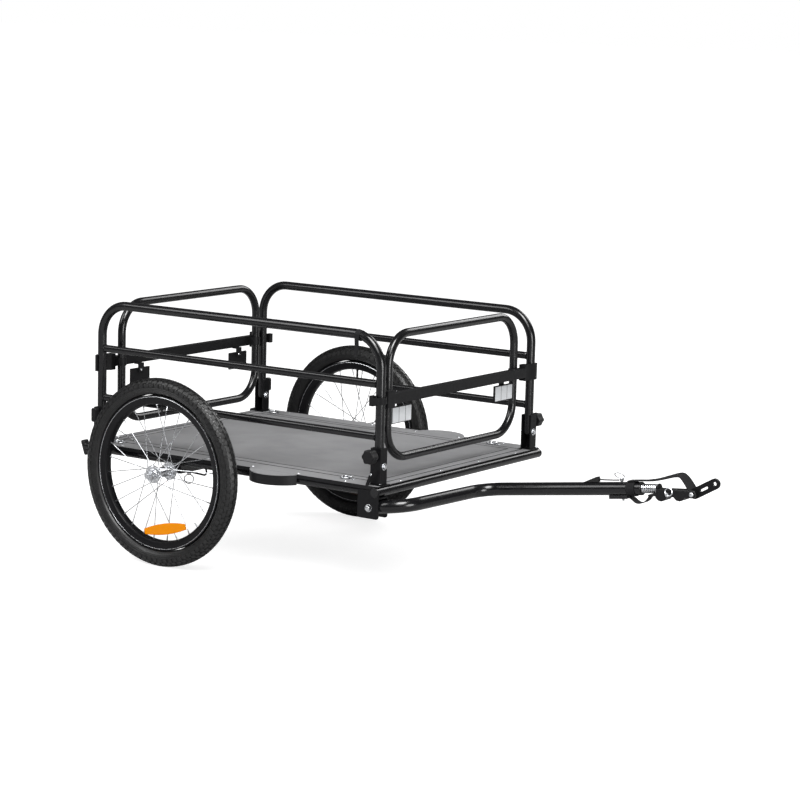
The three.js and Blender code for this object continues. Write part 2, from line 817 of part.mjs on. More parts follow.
function gateBar(end, x, reflectorOut, reflectorHeight) {
  const hoopPlane = x - end * gateInset;
  const inner = hoopPlane + end * (gateTubeRadius + touchGap);
  const middle = inner + (end * barDepth) / 2;
  const length = bedWidth - 2 * clipReach;
  const bar = block([barDepth, length + 2 * weldLap, barHeight], [middle, 0, barHeightAt]);
  const barInner = end * (inner - x);
  const jaws = sides.flatMap(([, side]) => {
    const basis = [vector(0, side, 0), vector(end, 0, 0), vector(0, 0, -side * end)];
    const turn = new THREE.Matrix4().makeBasis(...basis);
    const plans = side * end < 0 ? hookPlans : latchPlans;
    return plans(barInner, barInner + barDepth).map(([plan, height]) =>
      plate(plan, height).applyMatrix4(turn).translate(x, (side * bedWidth) / 2, barHeightAt),
    );
  });
  const saddles = sides.map(([, side]) => {
    const wall = gateTubeRadius + touchGap + saddleWall;
    const band = join(
      rod("z", wall, barHeight - 2 * saddleWall, [hoopPlane, side * hoopHalf, barHeightAt], 16),
      block([wall, 2 * wall, barHeight - 2 * saddleWall], [
        hoopPlane + (end * wall) / 2,
        side * hoopHalf,
        barHeightAt,
      ]),
    );
    const tubeAt = [hoopPlane, side * hoopHalf, barHeightAt];
    return cut(band, rod("z", gateTubeRadius + touchGap, 2 * barHeight, tubeAt, 16));
  });
  const tabTop = barHeightAt - barHeight / 2 + weldLap;
  const tabFoot = barHeightAt - reflectorDrop + reflectorHeight / 4;
  const tabAt = x - end * (gateInset + tabThickness / 2 + touchGap);
  const shelfDepth = end * (inner - tabAt) + saddleWall + tabThickness / 2;
  const tabs = sides.flatMap(([, side]) => [
    block([tabThickness, tabWidth, tabTop - tabFoot], [tabAt, side * reflectorOut, (tabTop + tabFoot) / 2]),
    block([shelfDepth, tabWidth, tabThickness], [
      tabAt + end * (shelfDepth / 2 - tabThickness / 2),
      side * reflectorOut,
      tabTop - tabThickness / 2,
    ]),
  ]);
  return join(bar, ...jaws, ...saddles, ...tabs);
}

function reflector(end, x, y, width, height) {
  const face = x - end * (gateInset - reflectorDepth / 2);
  const outline = roundedRectangle(width, height, reflectorCorner);
  const body = plate(outline, reflectorDepth, [], reflectorDepth / 8);
  body.rotateX(Math.PI / 2).rotateZ(Math.PI / 2);
  return body.translate(face, y, barHeightAt - reflectorDrop);
}

// Wheels, each about its own axle along Y

function tyre() {
  const crown = wheelRadius - tyreHalf;
  const reach = Math.PI / 2 + tyreSeatTurn;
  const outline = arcPoints(crown, 0, tyreHalf, -reach, reach, 8);
  return turned(outline, wheelSegments);
}

function rim() {
  const half = rimWidth / 2;
  const seat = rimSeat - touchGap;
  const outline = [
    [rimInner, -half / 2],
    [rimInner, half / 2],
    [rimInner + rimWellDepth, half],
    [seat, half],
    [seat, half - rimWall],
    [seat - rimWellDepth, half - rimWall],
    [seat - rimWellDepth, rimWall - half],
    [seat, rimWall - half],
    [seat, -half],
    [rimInner + rimWellDepth, -half],
  ];
  const ring = turned(outline, wheelSegments);
  const valve = rod("z", valveRadius, valveLength, [0, 0, rimInner + rimWall - valveLength / 2], 8);
  return join(ring, valve);
}

// The hub with its two laced flanges: every second spoke of a flange leads and the others trail.
function hub() {
  const bore = axleRadius + runGap;
  const half = hubWidth / 2;
  const flange = flangeSpacing / 2;
  const face = flangeThickness / 2;
  const rightHalf = [
    [hubBarrelRadius, -flange / 3],
    [hubBarrelRadius, -flange + 3 * face],
    [hubNeckRadius, -flange + face],
    [flangeRadius, -flange + face],
    [flangeRadius, -flange - face],
    [hubNeckRadius, -flange - face],
    [hubBarrelRadius, -half],
    [bore, -half],
  ];
  const leftHalf = rightHalf.map(([radius, y]) => [radius, -y]).reverse();
  const spokes = sides.flatMap(([, side]) =>
    Array.from({ length: spokeCount / 2 }, (_, i) => {
      const pitch = (4 * Math.PI) / spokeCount;
      const atRim = (i + 0.25) * pitch + (side > 0 ? pitch / 2 : 0);
      const lean = (i % 2 ? -1 : 1) * spokeCrossings * pitch;
      const from = vector(
        spokeHoleRadius * Math.cos(atRim + lean),
        side * flange + (i % 2 ? -1 : 1) * (face + spokeRadius / 2),
        spokeHoleRadius * Math.sin(atRim + lean),
      );
      const reach = rimInner * Math.cos(Math.PI / wheelSegments) - touchGap;
      const to = vector(reach * Math.cos(atRim), side * spokeTipOffset, reach * Math.sin(atRim));
      return rodBetween(from, to, spokeRadius, spokeSides);
    }),
  );
  return join(turned([...rightHalf, ...leftHalf], 16), ...spokes);
}

function wheelReflector(side) {
  const half = wheelReflectorLength / 2;
  const bulge = (wheelReflectorHeight - wheelReflectorEnd) / 2;
  const radius = (half ** 2 + bulge ** 2) / (2 * bulge);
  const reach = Math.asin(half / radius);
  const centre = radius - wheelReflectorHeight / 2;
  const outline = [
    ...arcPoints(0, -centre, radius, Math.PI / 2 - reach, Math.PI / 2 + reach, 6),
    ...arcPoints(0, centre, radius, -Math.PI / 2 - reach, reach - Math.PI / 2, 6),
  ];
  const lens = uprightPlate(outline, wheelReflectorDepth, [], wheelReflectorDepth / 6);
  lens.translate(0, side * (wheelReflectorOut + wheelReflectorDepth / 2), -wheelReflectorPlace);
  return lens.rotateY(-wheelReflectorTurn);
}

// The axle runs from inside the beam through the hub; its cross hole takes the lock pin.
function wheelAxle(side) {
  const inside = railSide - axleInside;
  const outside = trackWidth / 2 + hubWidth / 2 + touchGap + axleNutLength;
  const shaft = rod("y", axleRadius, outside - inside, [0, (side * (outside + inside)) / 2, 0]);
  const nut = rod("y", axleNutRadius, axleNutLength, [0, side * (outside - axleNutLength / 2), 0], 6);
  const hubFace = trackWidth / 2 - hubWidth / 2 - touchGap;
  const beamFace = railSide + touchGap;
  const collar = rod("y", axleCollarRadius, hubFace - beamFace, [0, (side * (hubFace + beamFace)) / 2, 0]);
  const hole = rod("z", pinRadius + runGap, 4 * axleRadius, [0, side * (railSide - pinInset), 0]);
  return cut(join(shaft, nut, collar), hole);
}

// A ring pin: a shaft up from its head, and a wire ring that leans and turns from the pin's direction.
function ringPin(length, radius, lean, turn) {
  const headRadius = 2 * pinRadius;
  const head = new THREE.SphereGeometry(headRadius, 8, 5).rotateX(Math.PI / 2);
  const shaft = rod("z", pinRadius, length, [0, 0, length / 2], 8);
  const ring = new THREE.TorusGeometry(radius, ringWire, 4, 14).rotateX(Math.PI / 2);
  ring.translate(0, 0, -radius).rotateX(lean).rotateZ(turn).translate(0, 0, -headRadius / 2);
  return join(head, shaft, ring);
}

// Tow bracket: two plates under the side rail with the pivot bolt through them
function towBracket() {
  const inner = towRadius + runGap;
  const topAt = railHeight - railRadius - touchGap;
  const outerTop = deckTop - towPlateHeadroom;
  const foot = towPivot.z - towPlateTail;
  const length = towPlateAhead + towPlateBehind;
  const x = towPivot.x + (towPlateAhead - towPlateBehind) / 2;
  const corner = towPlateTail / 2;
  const outerPlate = uprightPlate(
    roundedRectangle(length, outerTop - foot, corner / 2),
    towPlateThickness,
  ).translate(x, towPivot.y - inner - towPlateThickness / 2, (outerTop + foot) / 2);
  const innerPlate = uprightPlate(
    roundedRectangle(length, topAt - foot, corner / 2),
    towPlateThickness,
  ).translate(x, towPivot.y + inner + towPlateThickness / 2, (topAt + foot) / 2);
  const web = block([length, 2 * (inner + weldLap), towPlateThickness], [
    x,
    towPivot.y,
    topAt - towPlateThickness / 2,
  ]);
  const span = 2 * (inner + towPlateThickness);
  const bolt = rod("y", towBoltRadius, span, towPivot.toArray());
  const heads = sides.map(([, side]) =>
    rod("y", boltHeadRadius + weldLap, boltHeadHeight + weldLap, [
      towPivot.x,
      towPivot.y + side * (span / 2 + boltHeadHeight / 2 - weldLap / 2),
      towPivot.z,
    ], 6),
  );
  const railCut = rod("x", railRadius + touchGap, bedLength, [bedLength, -railSide, railHeight], 16);
  const frontCut = rod("y", railRadius + touchGap, bedWidth, [frontRailAt, -bedWidth / 2, railHeight], 16);
  return join(cut(join(outerPlate, innerPlate, web), railCut, frontCut), bolt, ...heads);
}

// Tow bar, from its bolt to the socket at its tip. The group's X runs along the bar.
function towBar() {
  const tipSide = towTipSide - towPivot.y;
  const route = new BentRoute(
    [
      vector(-towTail, 0, 0),
      vector(towFirstCorner, 0, 0),
      vector(towSecondCorner, tipSide, 0),
      vector(towTip, tipSide, 0),
    ],
    towBend,
    6,
  );
  const tube = sweep(roundSection(towRadius, 14), route);
  const pinAt = towTip - towPinBehind;
  const saddle = block([saddleLength, saddleWidth, saddleHeight + weldLap], [
    pinAt - saddleSetBack,
    tipSide,
    -towRadius - (saddleHeight - weldLap) / 2,
  ]);
  const boreAt = towTip + (overrun - tipBoreDepth) / 2;
  const bore = rod("x", tipBoreRadius, tipBoreDepth + overrun, [boreAt, tipSide, 0], 14);
  const boltHole = rod("y", towBoltRadius + runGap, 4 * towRadius);
  const pinHole = rod("z", pinRadius + runGap, 6 * towRadius, [pinAt, tipSide, 0], 10);
  return cut(join(tube, saddle), bore, boltHole, pinHole);
}

const tipSide = towTipSide - towPivot.y;
const springStart = towTip + touchGap;
const springEnd = springStart + springLength;
const couplerStart = springEnd + touchGap;
const couplerPinAt = couplerStart + couplerPinPlace;
const platePivotAt = couplerStart + couplerLength - couplerNoseRadius;

// The flexible core: a plug in the bar's tip and a rod through the spring into the coupler's seat.
function flexCore() {
  const plugLength = tipBoreDepth - runGap;
  const plug = rod("x", tipBoreRadius - runGap, plugLength, [towTip - plugLength / 2, tipSide, 0], 14);
  const tailAt = springStart + springLength / 2 - weldLap;
  const tail = rod("x", flexRodRadius, springLength + 2 * weldLap, [tailAt, tipSide, 0]);
  const hole = rod("z", pinRadius + runGap, 4 * towRadius, [towTip - towPinBehind, tipSide, 0], 10);
  return join(cut(plug, hole), tail);
}

// The spring: one wire wound round the core, its two ends turned square to their seats.
function springPoints() {
  const lead = 2 * springWireRadius;
  const wound = springLength - 4 * lead;
  const points = [vector(springStart, springCoilRadius, 0), vector(springStart + lead, springCoilRadius, 0)];
  const steps = springTurns * curlSteps;
  for (let i = 0; i <= steps; i += 1) {
    const turn = (2 * Math.PI * i) / curlSteps;
    const along = springStart + 2 * lead + (wound * i) / steps;
    points.push(vector(along, springCoilRadius * Math.cos(turn), springCoilRadius * Math.sin(turn)));
  }
  points.push(vector(springEnd - lead, springCoilRadius, 0), vector(springEnd, springCoilRadius, 0));
  return points;
}

// A closed wire through points, with its section carried along without twist.
function wire(points, radius, sidesRound) {
  const last = points.length - 1;
  const tangents = points.map((point, i) =>
    new THREE.Vector3().subVectors(points[Math.min(i + 1, last)], points[Math.max(i - 1, 0)]).normalize(),
  );
  let normal = new THREE.Vector3(0, 0, 1).cross(tangents[0]).normalize();
  const positions = [];
  points.forEach((point, i) => {
    if (i > 0) {
      normal.applyQuaternion(new THREE.Quaternion().setFromUnitVectors(tangents[i - 1], tangents[i]));
    }
    const binormal = new THREE.Vector3().crossVectors(tangents[i], normal);
    for (let k = 0; k < sidesRound; k += 1) {
      const turn = (2 * Math.PI * k) / sidesRound;
      const corner = point.clone();
      corner.addScaledVector(normal, radius * Math.cos(turn));
      corner.addScaledVector(binormal, radius * Math.sin(turn));
      positions.push(...corner);
    }
  });
  const index = [];
  for (let i = 0; i < last; i += 1) {
    for (let k = 0; k < sidesRound; k += 1) {
      const a = i * sidesRound + k;
      const b = i * sidesRound + ((k + 1) % sidesRound);
      index.push(a, b, b + sidesRound, a, b + sidesRound, a + sidesRound);
    }
  }
  for (let k = 1; k < sidesRound - 1; k += 1) {
    index.push(0, k + 1, k);
    index.push(last * sidesRound, last * sidesRound + k, last * sidesRound + k + 1);
  }
  const geometry = new THREE.BufferGeometry();
  geometry.setAttribute("position", new THREE.Float32BufferAttribute(positions, 3));
  geometry.setIndex(index);
  geometry.computeVertexNormals();
  return geometry;
}

// The least gap between stretches of the wire that are at least half a turn apart.
function leastGap(points, radius, apart) {
  let least = Infinity;
  points.forEach((point, i) => {
    for (let k = i + apart; k < points.length; k += 1) {
      least = Math.min(least, point.distanceTo(points[k]) - 2 * radius);
    }
  });
  return least;
}

// The coupler: a seat for the spring, and a body with two round lobes and a fork for the axle plate.
function coupler() {
  const foot = -couplerAxisDrop - couplerBevel - springWireRadius;
  const noseAt = platePivotAt - couplerStart;
  const outline = [
    [0, 0],
    ...arcPoints(noseAt, -couplerAxisDrop, couplerNoseRadius, Math.PI / 3, -Math.PI / 2, 6),
    [0, foot],
    [-couplerTail, foot],
    [-couplerTail, foot + 2 * springWireRadius],
    [0, foot + 2 * springWireRadius],
  ];
  const lobes = couplerLobeShares.map((share) =>
    arcPoints(couplerLength * share, -couplerAxisDrop, couplerLobeRadius, 0, -Math.PI, 6),
  );
  const bodies = [outline, ...lobes].map((edge) =>
    uprightPlate(edge, couplerWidth, [], couplerBevel / 2).translate(couplerStart, tipSide, 0),
  );
  const seat = rod("x", seatRadius, seatThickness, [couplerStart + seatThickness / 2, tipSide, 0], 16);
  const springRoom = rod(
    "x",
    springCoilRadius + springWireRadius + runGap,
    2 * springLength,
    [couplerStart - springLength, tipSide, 0],
    16,
  );
  const slotLength = forkDepth + overrun;
  const slot = block(
    [slotLength, forkSlot, 6 * couplerLobeRadius],
    [couplerStart + couplerLength + overrun - slotLength / 2, tipSide, 0],
  );
  const pinBore = rod("y", pinRadius + runGap, 2 * couplerWidth, [couplerPinAt, tipSide, -couplerAxisDrop]);
  const pivotShaft = rod(
    "y",
    platePivotRadius,
    couplerWidth + 2 * boltHeadHeight,
    [platePivotAt, tipSide, -couplerAxisDrop],
  );
  return join(cut(join(...bodies, seat), springRoom, slot, pinBore), pivotShaft);
}

function plateOutline(radius) {
  const quarter = Math.PI / 2;
  return [
    ...arcPoints(plateReach, 0, radius, -quarter, quarter, 8),
    ...arcPoints(0, 0, radius, quarter, 3 * quarter, 8),
  ];
}

// The axle plate: a long round-ended plate with a hole for the bicycle's axle and a slot.
function axlePlate() {
  const quarter = Math.PI / 2;
  const [slotFrom, slotTo] = plateSlotShares.map((share) => share * plateReach);
  const slotEdge = [
    ...arcPoints(slotTo, 0, plateSlotHalf, -quarter, quarter, 4),
    ...arcPoints(slotFrom, 0, plateSlotHalf, quarter, 3 * quarter, 4),
  ].reverse();
  const slot = new THREE.Path(slotEdge.map(([x, y]) => new THREE.Vector2(x, y)));
  const holes = [roundHole(plateReach, 0, plateHoleRadius), roundHole(0, 0, platePivotRadius + runGap), slot];
  return uprightPlate(plateOutline(plateEndRadius), plateThickness, holes);
}

// The safety strap: webbing from a collar round the bar, over the spring and down to the fork,
// with a loose loop underneath. Its points follow the webbing as it hangs.
function safetyStrap() {
  const collarAt = towTip - strapCollarBehind;
  const collarWall = towRadius + runGap + strapThickness;
  const collar = cut(
    rod("x", collarWall, strapWidth, [collarAt, tipSide, 0], 16),
    rod("x", towRadius + runGap, 2 * strapWidth, [collarAt, tipSide, 0], 16),
  );
  const over = towRadius + runGap + strapThickness / 2;
  const upper = new BentRoute(
    [
      vector(collarAt, tipSide, over),
      ...strapPlaces.map((place, i) => vector(couplerStart + place, tipSide, over + strapRises[i])),
      vector(platePivotAt, tipSide, plateEndRadius + strapThickness - couplerAxisDrop),
    ],
    strapBend,
    3,
  );
  const lower = new BentRoute(
    [
      vector(collarAt - strapWidth / 2, tipSide, -over),
      vector(collarAt - strapWidth / 4, tipSide, -over),
      ...loopPlaces.map((place) => vector(towTip - place, tipSide, -over - loopDip)),
      vector(towTip + loopEndAhead, tipSide, -couplerAxisDrop - springWireRadius),
    ],
    loopBend,
    3,
  );
  const plateRooms = [0, 1].map((share) => {
    const room = plateOutline(plateEndRadius + runGap);
    const block = uprightPlate(room, forkSlot).rotateY(-plateTilt - share * plateLift);
    return block.translate(platePivotAt, tipSide, -couplerAxisDrop);
  });
  const bands = [upper, lower].map((route) => ribbon(route, strapThickness, strapWidth));
  return cut(join(collar, ...bands), ...plateRooms);
}

// The tether that keeps the ring pin: a rubber tab on the bar and a cord to the pin.
function pinTether() {
  const pinAt = towTip - towPinBehind;
  const tab = uprightPlate(
    [
      [0, 0],
      [0, tabRise],
      [-tabTopLength, tabRise],
      [-tabLength, 0],
    ],
    strapWidth / 2,
  ).translate(pinAt - tabBehind, tipSide, towRadius + touchGap);
  const corners = tetherPlaces.map((place, i) => vector(pinAt - place, tipSide, towRadius + tetherRises[i]));
  const cordEnd = vector(pinAt - 2 * pinRadius - tetherRadius - runGap, tipSide, corners[2].z);
  const cord = new BentRoute([...corners, cordEnd], tetherBend, 2);
  return join(tab, sweep(roundSection(tetherRadius, 6), cord));
}

// Small fittings

// A ring about the bar that its clip holds, lying forwards on the deck.
function tieRing() {
  const ring = new THREE.TorusGeometry(tieRingRadius, tieRingWire, 4, 14).rotateZ(Math.PI / 14);
  return ring.translate(tieRingRadius * Math.cos(Math.PI / 14), 0, 0).rotateY(tieRingDip);
}

// The clip that holds a tie ring: a block with a bore along Y, open to the deck below.
function tieClip() {
  const height = tieRingLift + tieRingWire + runGap + tieClipWall;
  const length = 2 * (tieRingWire + runGap + 2 * tieClipWall);
  const clip = block([length, tieClipWidth, height + weldLap], [0, 0, (height - weldLap) / 2]);
  return cut(clip, rod("y", tieRingWire + 2 * runGap, 2 * tieClipWidth, [0, 0, tieRingLift], 10));
}

function tieStrap() {
  const y = -bedWidth / 2;
  const inner = postRadius + touchGap;
  const turn = Math.PI / 4 / bendSteps;
  const band = cut(
    rod("x", inner + strapThickness, tieStrapWidth, [0, y, 0], 16),
    rod("x", inner, 2 * tieStrapWidth, [0, y, 0], 16),
  ).rotateY(turn);
  const tail = block([tieStrapTailWidth, strapThickness, tieStrapTail], [
    0,
    y - inner + strapThickness / 2 - touchGap,
    2 * strapThickness - inner - tieStrapTail / 2,
  ]);
  const clear = rod("x", inner, 2 * tieStrapWidth, [0, y, 0], 16).rotateY(turn);
  const chord = fenceBend * Math.cos(turn);
  return join(band, cut(tail, clear)).translate(
    bedLength - fenceBend + chord * Math.sin(turn),
    0,
    topRailHeight - fenceBend + chord * Math.cos(turn),
  );
}

// Assembly: frame, deck and what is fixed to them
for (const [name, side] of sides) {
  addPiece("side_rail_" + name, sideRail(side), blackPaint);
  addPiece("side_wing_" + name, sideWing(side), greyFabric);
  addPiece("rear_foot_" + name, rearFoot(side), blackRubber);
}
addPiece("front_rail", crossRail(frontRailAt, railSide + crossRailEnd, false), blackPaint);
addPiece("rear_rail", crossRail(rearRailAt, railSide, true), blackPaint);
addPiece("middle_beam", midBeam(), blackPaint);
addPiece("axle_beam", axleBeam(), blackPaint);
addPiece("deck_sheet", deckSheet(), greyFabric);
addPiece("tow_bracket", towBracket(), blackPaint);

// Assembly: fold brackets and lock knobs at the four corners, and the tie-down rings
const lockShapes = {
  rear: [roundedRectangle(tabKnobWidth, tabKnobHeight, tabKnobCorner), tabKnobDepth, rearBossLength],
  front: [flutedOutline(), knobDepth, bossLength],
};
for (const [endName, end, x] of ends) {
  for (const [sideName, side] of sides) {
    const corner = endName + "_" + sideName;
    const [outline, depth, bossReach] = lockShapes[endName];
    const bracket = addPiece("fold_bracket_" + corner, foldBracket(bossReach), blackPaint);
    bracket.rotation.z = side > 0 ? 0 : Math.PI;
    bracket.position.set(x, (side * bedWidth) / 2, railTop + touchGap);
    const knob = addPiece("lock_knob_" + corner, lockKnob(outline, depth, bossReach), blackPlastic);
    knob.rotation.z = bracket.rotation.z;
    knob.position.set(x, (side * bedWidth) / 2, deckTop + lockRise);
  }
}

for (const [name, end, x, y] of tieRingPlaces) {
  const ring = addPiece("tie_ring_" + name, tieRing(), brightSteel);
  ring.rotation.z = end > 0 ? Math.PI : 0;
  ring.position.set(x, y, hemTop + tieRingLift);
}

// Assembly: fences
for (const [name, side] of sides) {
  addPiece("fence_hoop_" + name, fenceHoop(side), blackPaint);
  addPiece("fence_middle_rail_" + name, fenceRail(side, midRailRise), blackPaint);
  addPiece("fence_lower_rail_" + name, fenceRail(side, lowRailRise), blackPaint);
}
addPiece("tie_strap", tieStrap(), blackWebbing);

// Assembly: end gates
for (const [name, end, x] of ends) {
  const gap = end > 0 ? frontReflectorGap : rearReflectorGap;
  const width = end > 0 ? frontReflectorWidth : rearReflectorWidth;
  const height = end > 0 ? frontReflectorHeight : rearReflectorHeight;
  const out = hoopHalf - gateTubeRadius - gap - width / 2;
  addPiece("gate_hoop_" + name, gateHoop(end, x), blackPaint);
  addPiece("gate_bar_" + name, gateBar(end, x, out, height), blackPlastic);
  for (const [sideName, side] of sides) {
    const lens = reflector(end, x, side * out, width, height);
    addPiece("reflector_" + name + "_" + sideName, lens, end > 0 ? clearLens : redLens);
  }
}

// Assembly: wheels, axles and lock pins
for (const [name, side] of sides) {
  const wheel = new THREE.Group();
  wheel.position.set(axleAhead, (side * trackWidth) / 2, wheelRadius);
  trailer.add(wheel);
  addPiece("tyre_" + name, tyre(), blackRubber, wheel);
  addPiece("rim_" + name, rim(), blackRim, wheel);
  addPiece("hub_and_spokes_" + name, hub(), brightSteel, wheel);
  addPiece("wheel_reflector_" + name, wheelReflector(side), orangeLens, wheel);
  addPiece("wheel_axle_" + name, wheelAxle(side), blackPaint).position.set(axleAhead, 0, wheelRadius);
  const headRadius = 2 * pinRadius;
  const pinLength = 2 * beamHalf + headRadius;
  const pin = addPiece("axle_pin_" + name, ringPin(pinLength, ringRadius, 0, ringTurn), brightSteel);
  pin.position.set(axleAhead, side * (railSide - pinInset), wheelRadius - beamHalf - headRadius - touchGap);
}

// Assembly: tow bar and hitch
addPiece("tow_bar", towBar(), blackPaint, towPlane);
addPiece("flex_core", flexCore(), blackRubber, towPlane);
const springRoute = springPoints();
const springBody = wire(springRoute, springWireRadius, curlSides);
const spring = addPiece("hitch_spring", springBody, brightSteel, towPlane);
spring.position.y = tipSide;
console.log("hitch spring, least gap between coils: " +
  leastGap(springRoute, springWireRadius, curlSteps / 2).toFixed(2) + " mm");
addPiece("coupler", coupler(), blackPlastic, towPlane);
const axlePlatePiece = addPiece("axle_plate", axlePlate(), blackPaint, towPlane);
axlePlatePiece.position.set(platePivotAt, tipSide, -couplerAxisDrop);
axlePlatePiece.rotation.y = -plateTilt;
const couplerPin = addPiece(
  "coupler_pin",
  ringPin(couplerWidth, couplerRingRadius, -Math.PI / 2, ringTurn),
  brightSteel,
  towPlane,
);
couplerPin.rotation.x = -Math.PI / 2;
const couplerPinSide = tipSide - couplerWidth / 2 - 2 * pinRadius - touchGap;
couplerPin.position.set(couplerPinAt, couplerPinSide, -couplerAxisDrop);
const towPinLength = 2 * towRadius + saddleHeight + 4 * pinRadius;
const towPin = addPiece("tow_pin", ringPin(towPinLength, ringRadius, towRingLean, 0), brightSteel, towPlane);
towPin.rotation.x = Math.PI;
towPin.position.set(towTip - towPinBehind, tipSide, towRadius + 2 * pinRadius + touchGap);
addPiece("safety_strap", safetyStrap(), blackWebbing, towPlane);
addPiece("pin_tether", pinTether(), blackRubber, towPlane);

// The origin: the middle of the whole outline, on the ground
trailer.updateMatrixWorld(true);
const bounds = new THREE.Box3().setFromObject(trailer, true);
trailer.position.set(-(bounds.min.x + bounds.max.x) / 2, -(bounds.min.y + bounds.max.y) / 2, -bounds.min.z);

export default trailer;
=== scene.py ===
import json
from math import atan2, cos, hypot, pi, radians, sin, tan

import bmesh
import bpy
from bpy.props import FloatProperty, FloatVectorProperty, IntProperty, PointerProperty
from mathutils import Matrix, Vector, noise

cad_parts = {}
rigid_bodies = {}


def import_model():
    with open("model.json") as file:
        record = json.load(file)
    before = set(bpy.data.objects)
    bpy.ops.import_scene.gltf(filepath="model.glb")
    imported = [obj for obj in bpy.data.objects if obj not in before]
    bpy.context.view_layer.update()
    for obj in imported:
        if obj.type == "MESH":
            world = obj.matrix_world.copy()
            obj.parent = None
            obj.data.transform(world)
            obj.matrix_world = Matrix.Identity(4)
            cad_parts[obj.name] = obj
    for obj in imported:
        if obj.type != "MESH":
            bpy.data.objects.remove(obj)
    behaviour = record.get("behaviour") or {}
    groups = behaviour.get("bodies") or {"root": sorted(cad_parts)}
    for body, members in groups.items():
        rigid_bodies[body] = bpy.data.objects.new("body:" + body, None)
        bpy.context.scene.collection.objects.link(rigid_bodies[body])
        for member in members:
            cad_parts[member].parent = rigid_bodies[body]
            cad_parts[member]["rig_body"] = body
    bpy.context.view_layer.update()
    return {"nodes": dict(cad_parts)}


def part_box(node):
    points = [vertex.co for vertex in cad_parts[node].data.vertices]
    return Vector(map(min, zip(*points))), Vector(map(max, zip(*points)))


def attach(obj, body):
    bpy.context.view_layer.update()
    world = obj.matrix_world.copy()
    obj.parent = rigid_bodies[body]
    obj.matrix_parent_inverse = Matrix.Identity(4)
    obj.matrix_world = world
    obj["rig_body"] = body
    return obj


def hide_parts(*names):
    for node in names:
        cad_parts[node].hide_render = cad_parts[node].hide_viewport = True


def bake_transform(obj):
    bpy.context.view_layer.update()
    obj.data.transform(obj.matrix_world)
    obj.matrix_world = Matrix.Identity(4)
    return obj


bl_info = {
    "name": "Flat-bed cargo trailer",
    "version": (1, 0, 0),
    "blender": (4, 5, 0),
    "location": "View3D > Sidebar > Trailer",
    "description": "Dresses the solids of a bicycle cargo trailer with finished pieces",
    "category": "Object",
}

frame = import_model()

X_AXIS = Vector((1, 0, 0))
Y_AXIS = Vector((0, 1, 0))
Z_AXIS = Vector((0, 0, 1))
MM = 0.001
SIDES = (("right", -1), ("left", 1))
ENDS = (("rear", -1), ("front", 1))
CORNERS = [(end + "_" + side, e, s) for end, e in ENDS for side, s in SIDES]


# Places read from the solids, and the sizes that several pieces share

def middle(node):
    low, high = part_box(node)
    return (low + high) / 2


def size_of(node):
    low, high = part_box(node)
    return high - low


FIT_GAP = 0.3 * MM
DECK_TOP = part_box("fold_bracket_rear_left")[0].z + 4 * MM
HEM_TOP = DECK_TOP - 1 * MM
PANEL_END = 30 * MM
PANEL_SIDE = 63 * MM
RAIL_OUT = 18 * MM  # a side rail's axis outside the posts
RAIL_RADIUS = 12.5 * MM
POST_RADIUS = size_of("fence_hoop_left").y / 2
REAR_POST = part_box("fence_hoop_left")[0].x + POST_RADIUS
FRONT_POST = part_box("fence_hoop_left")[1].x - POST_RADIUS
POST_SIDE = middle("fence_hoop_left").y
FENCE_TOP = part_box("fence_hoop_left")[1].z - POST_RADIUS
FENCE_BEND = 84 * MM
GATE_BEND = 80 * MM
HOOP_STEPS = 14
PIVOT_HEIGHT = DECK_TOP + 46 * MM
WHEEL_CENTRE = {side: middle("tyre_" + side) for side, _ in SIDES}
TYRE_HALF = size_of("tyre_left").y / 2
TYRE_RADIUS = size_of("tyre_left").z / 2
TYRE_SEAT_TURN = radians(63)  # round the tyre's section, down to the rim
RIM_SEAT = TYRE_RADIUS - TYRE_HALF * (1 + sin(TYRE_SEAT_TURN))
RIM_INNER = RIM_SEAT - 25 * MM
WHEEL_STEPS = 120
TOW_RISE = radians(7.65)
TOW_PIVOT = Vector((FRONT_POST - 5 * MM, -POST_SIDE - 14 * MM, DECK_TOP - 57.5 * MM))
TOW_FORWARD = Vector((cos(TOW_RISE), 0, sin(TOW_RISE)))
TOW_UP = Vector((-sin(TOW_RISE), 0, cos(TOW_RISE)))
TOW_SIDE = middle("hitch_spring").y
TOW_TIP = 602 * MM
TOW_RADIUS = 17 * MM
TOW_BORE = 13 * MM
SPRING_END = TOW_TIP + 46.6 * MM
RING_WIRE = 1.9 * MM
RING_RADIUS = 13.5 * MM
TIE_RINGS = {
    corner: Vector((
        REAR_POST + 42 * MM if end < 0 else FRONT_POST - 97 * MM,
        side * (POST_SIDE - 12 * MM),
        HEM_TOP + RING_WIRE + 1.5 * MM,
    ))
    for corner, end, side in CORNERS
}


def on_bar(along, up=0.0):
    """A point in the hitch's plane: metres along the tow bar from its bolt and above its axis."""
    return Vector((TOW_PIVOT.x, TOW_SIDE, TOW_PIVOT.z)) + TOW_FORWARD * along + TOW_UP * up


# What a user would change

def length(label, text, default):
    return FloatProperty(name=label, description=text, default=default, unit="LENGTH", min=0.0)


def colour(label, text, default):
    return FloatVectorProperty(
        name=label, description=text, default=default, subtype="COLOR", size=3, min=0.0, max=1.0
    )


class TrailerSizes(bpy.types.PropertyGroup):
    edge: length("Edge", "Rounding of cut and pressed edges", 0.6 * MM)
    tread_depth: length("Tread depth", "Height of the tyre's tread blocks", 1.6 * MM)
    spoke: length("Spoke", "Radius of a spoke", 1.05 * MM)
    tread_pitches: IntProperty(
        name="Tread pitches", description="Tread blocks round a tyre", default=84, min=12, max=160
    )


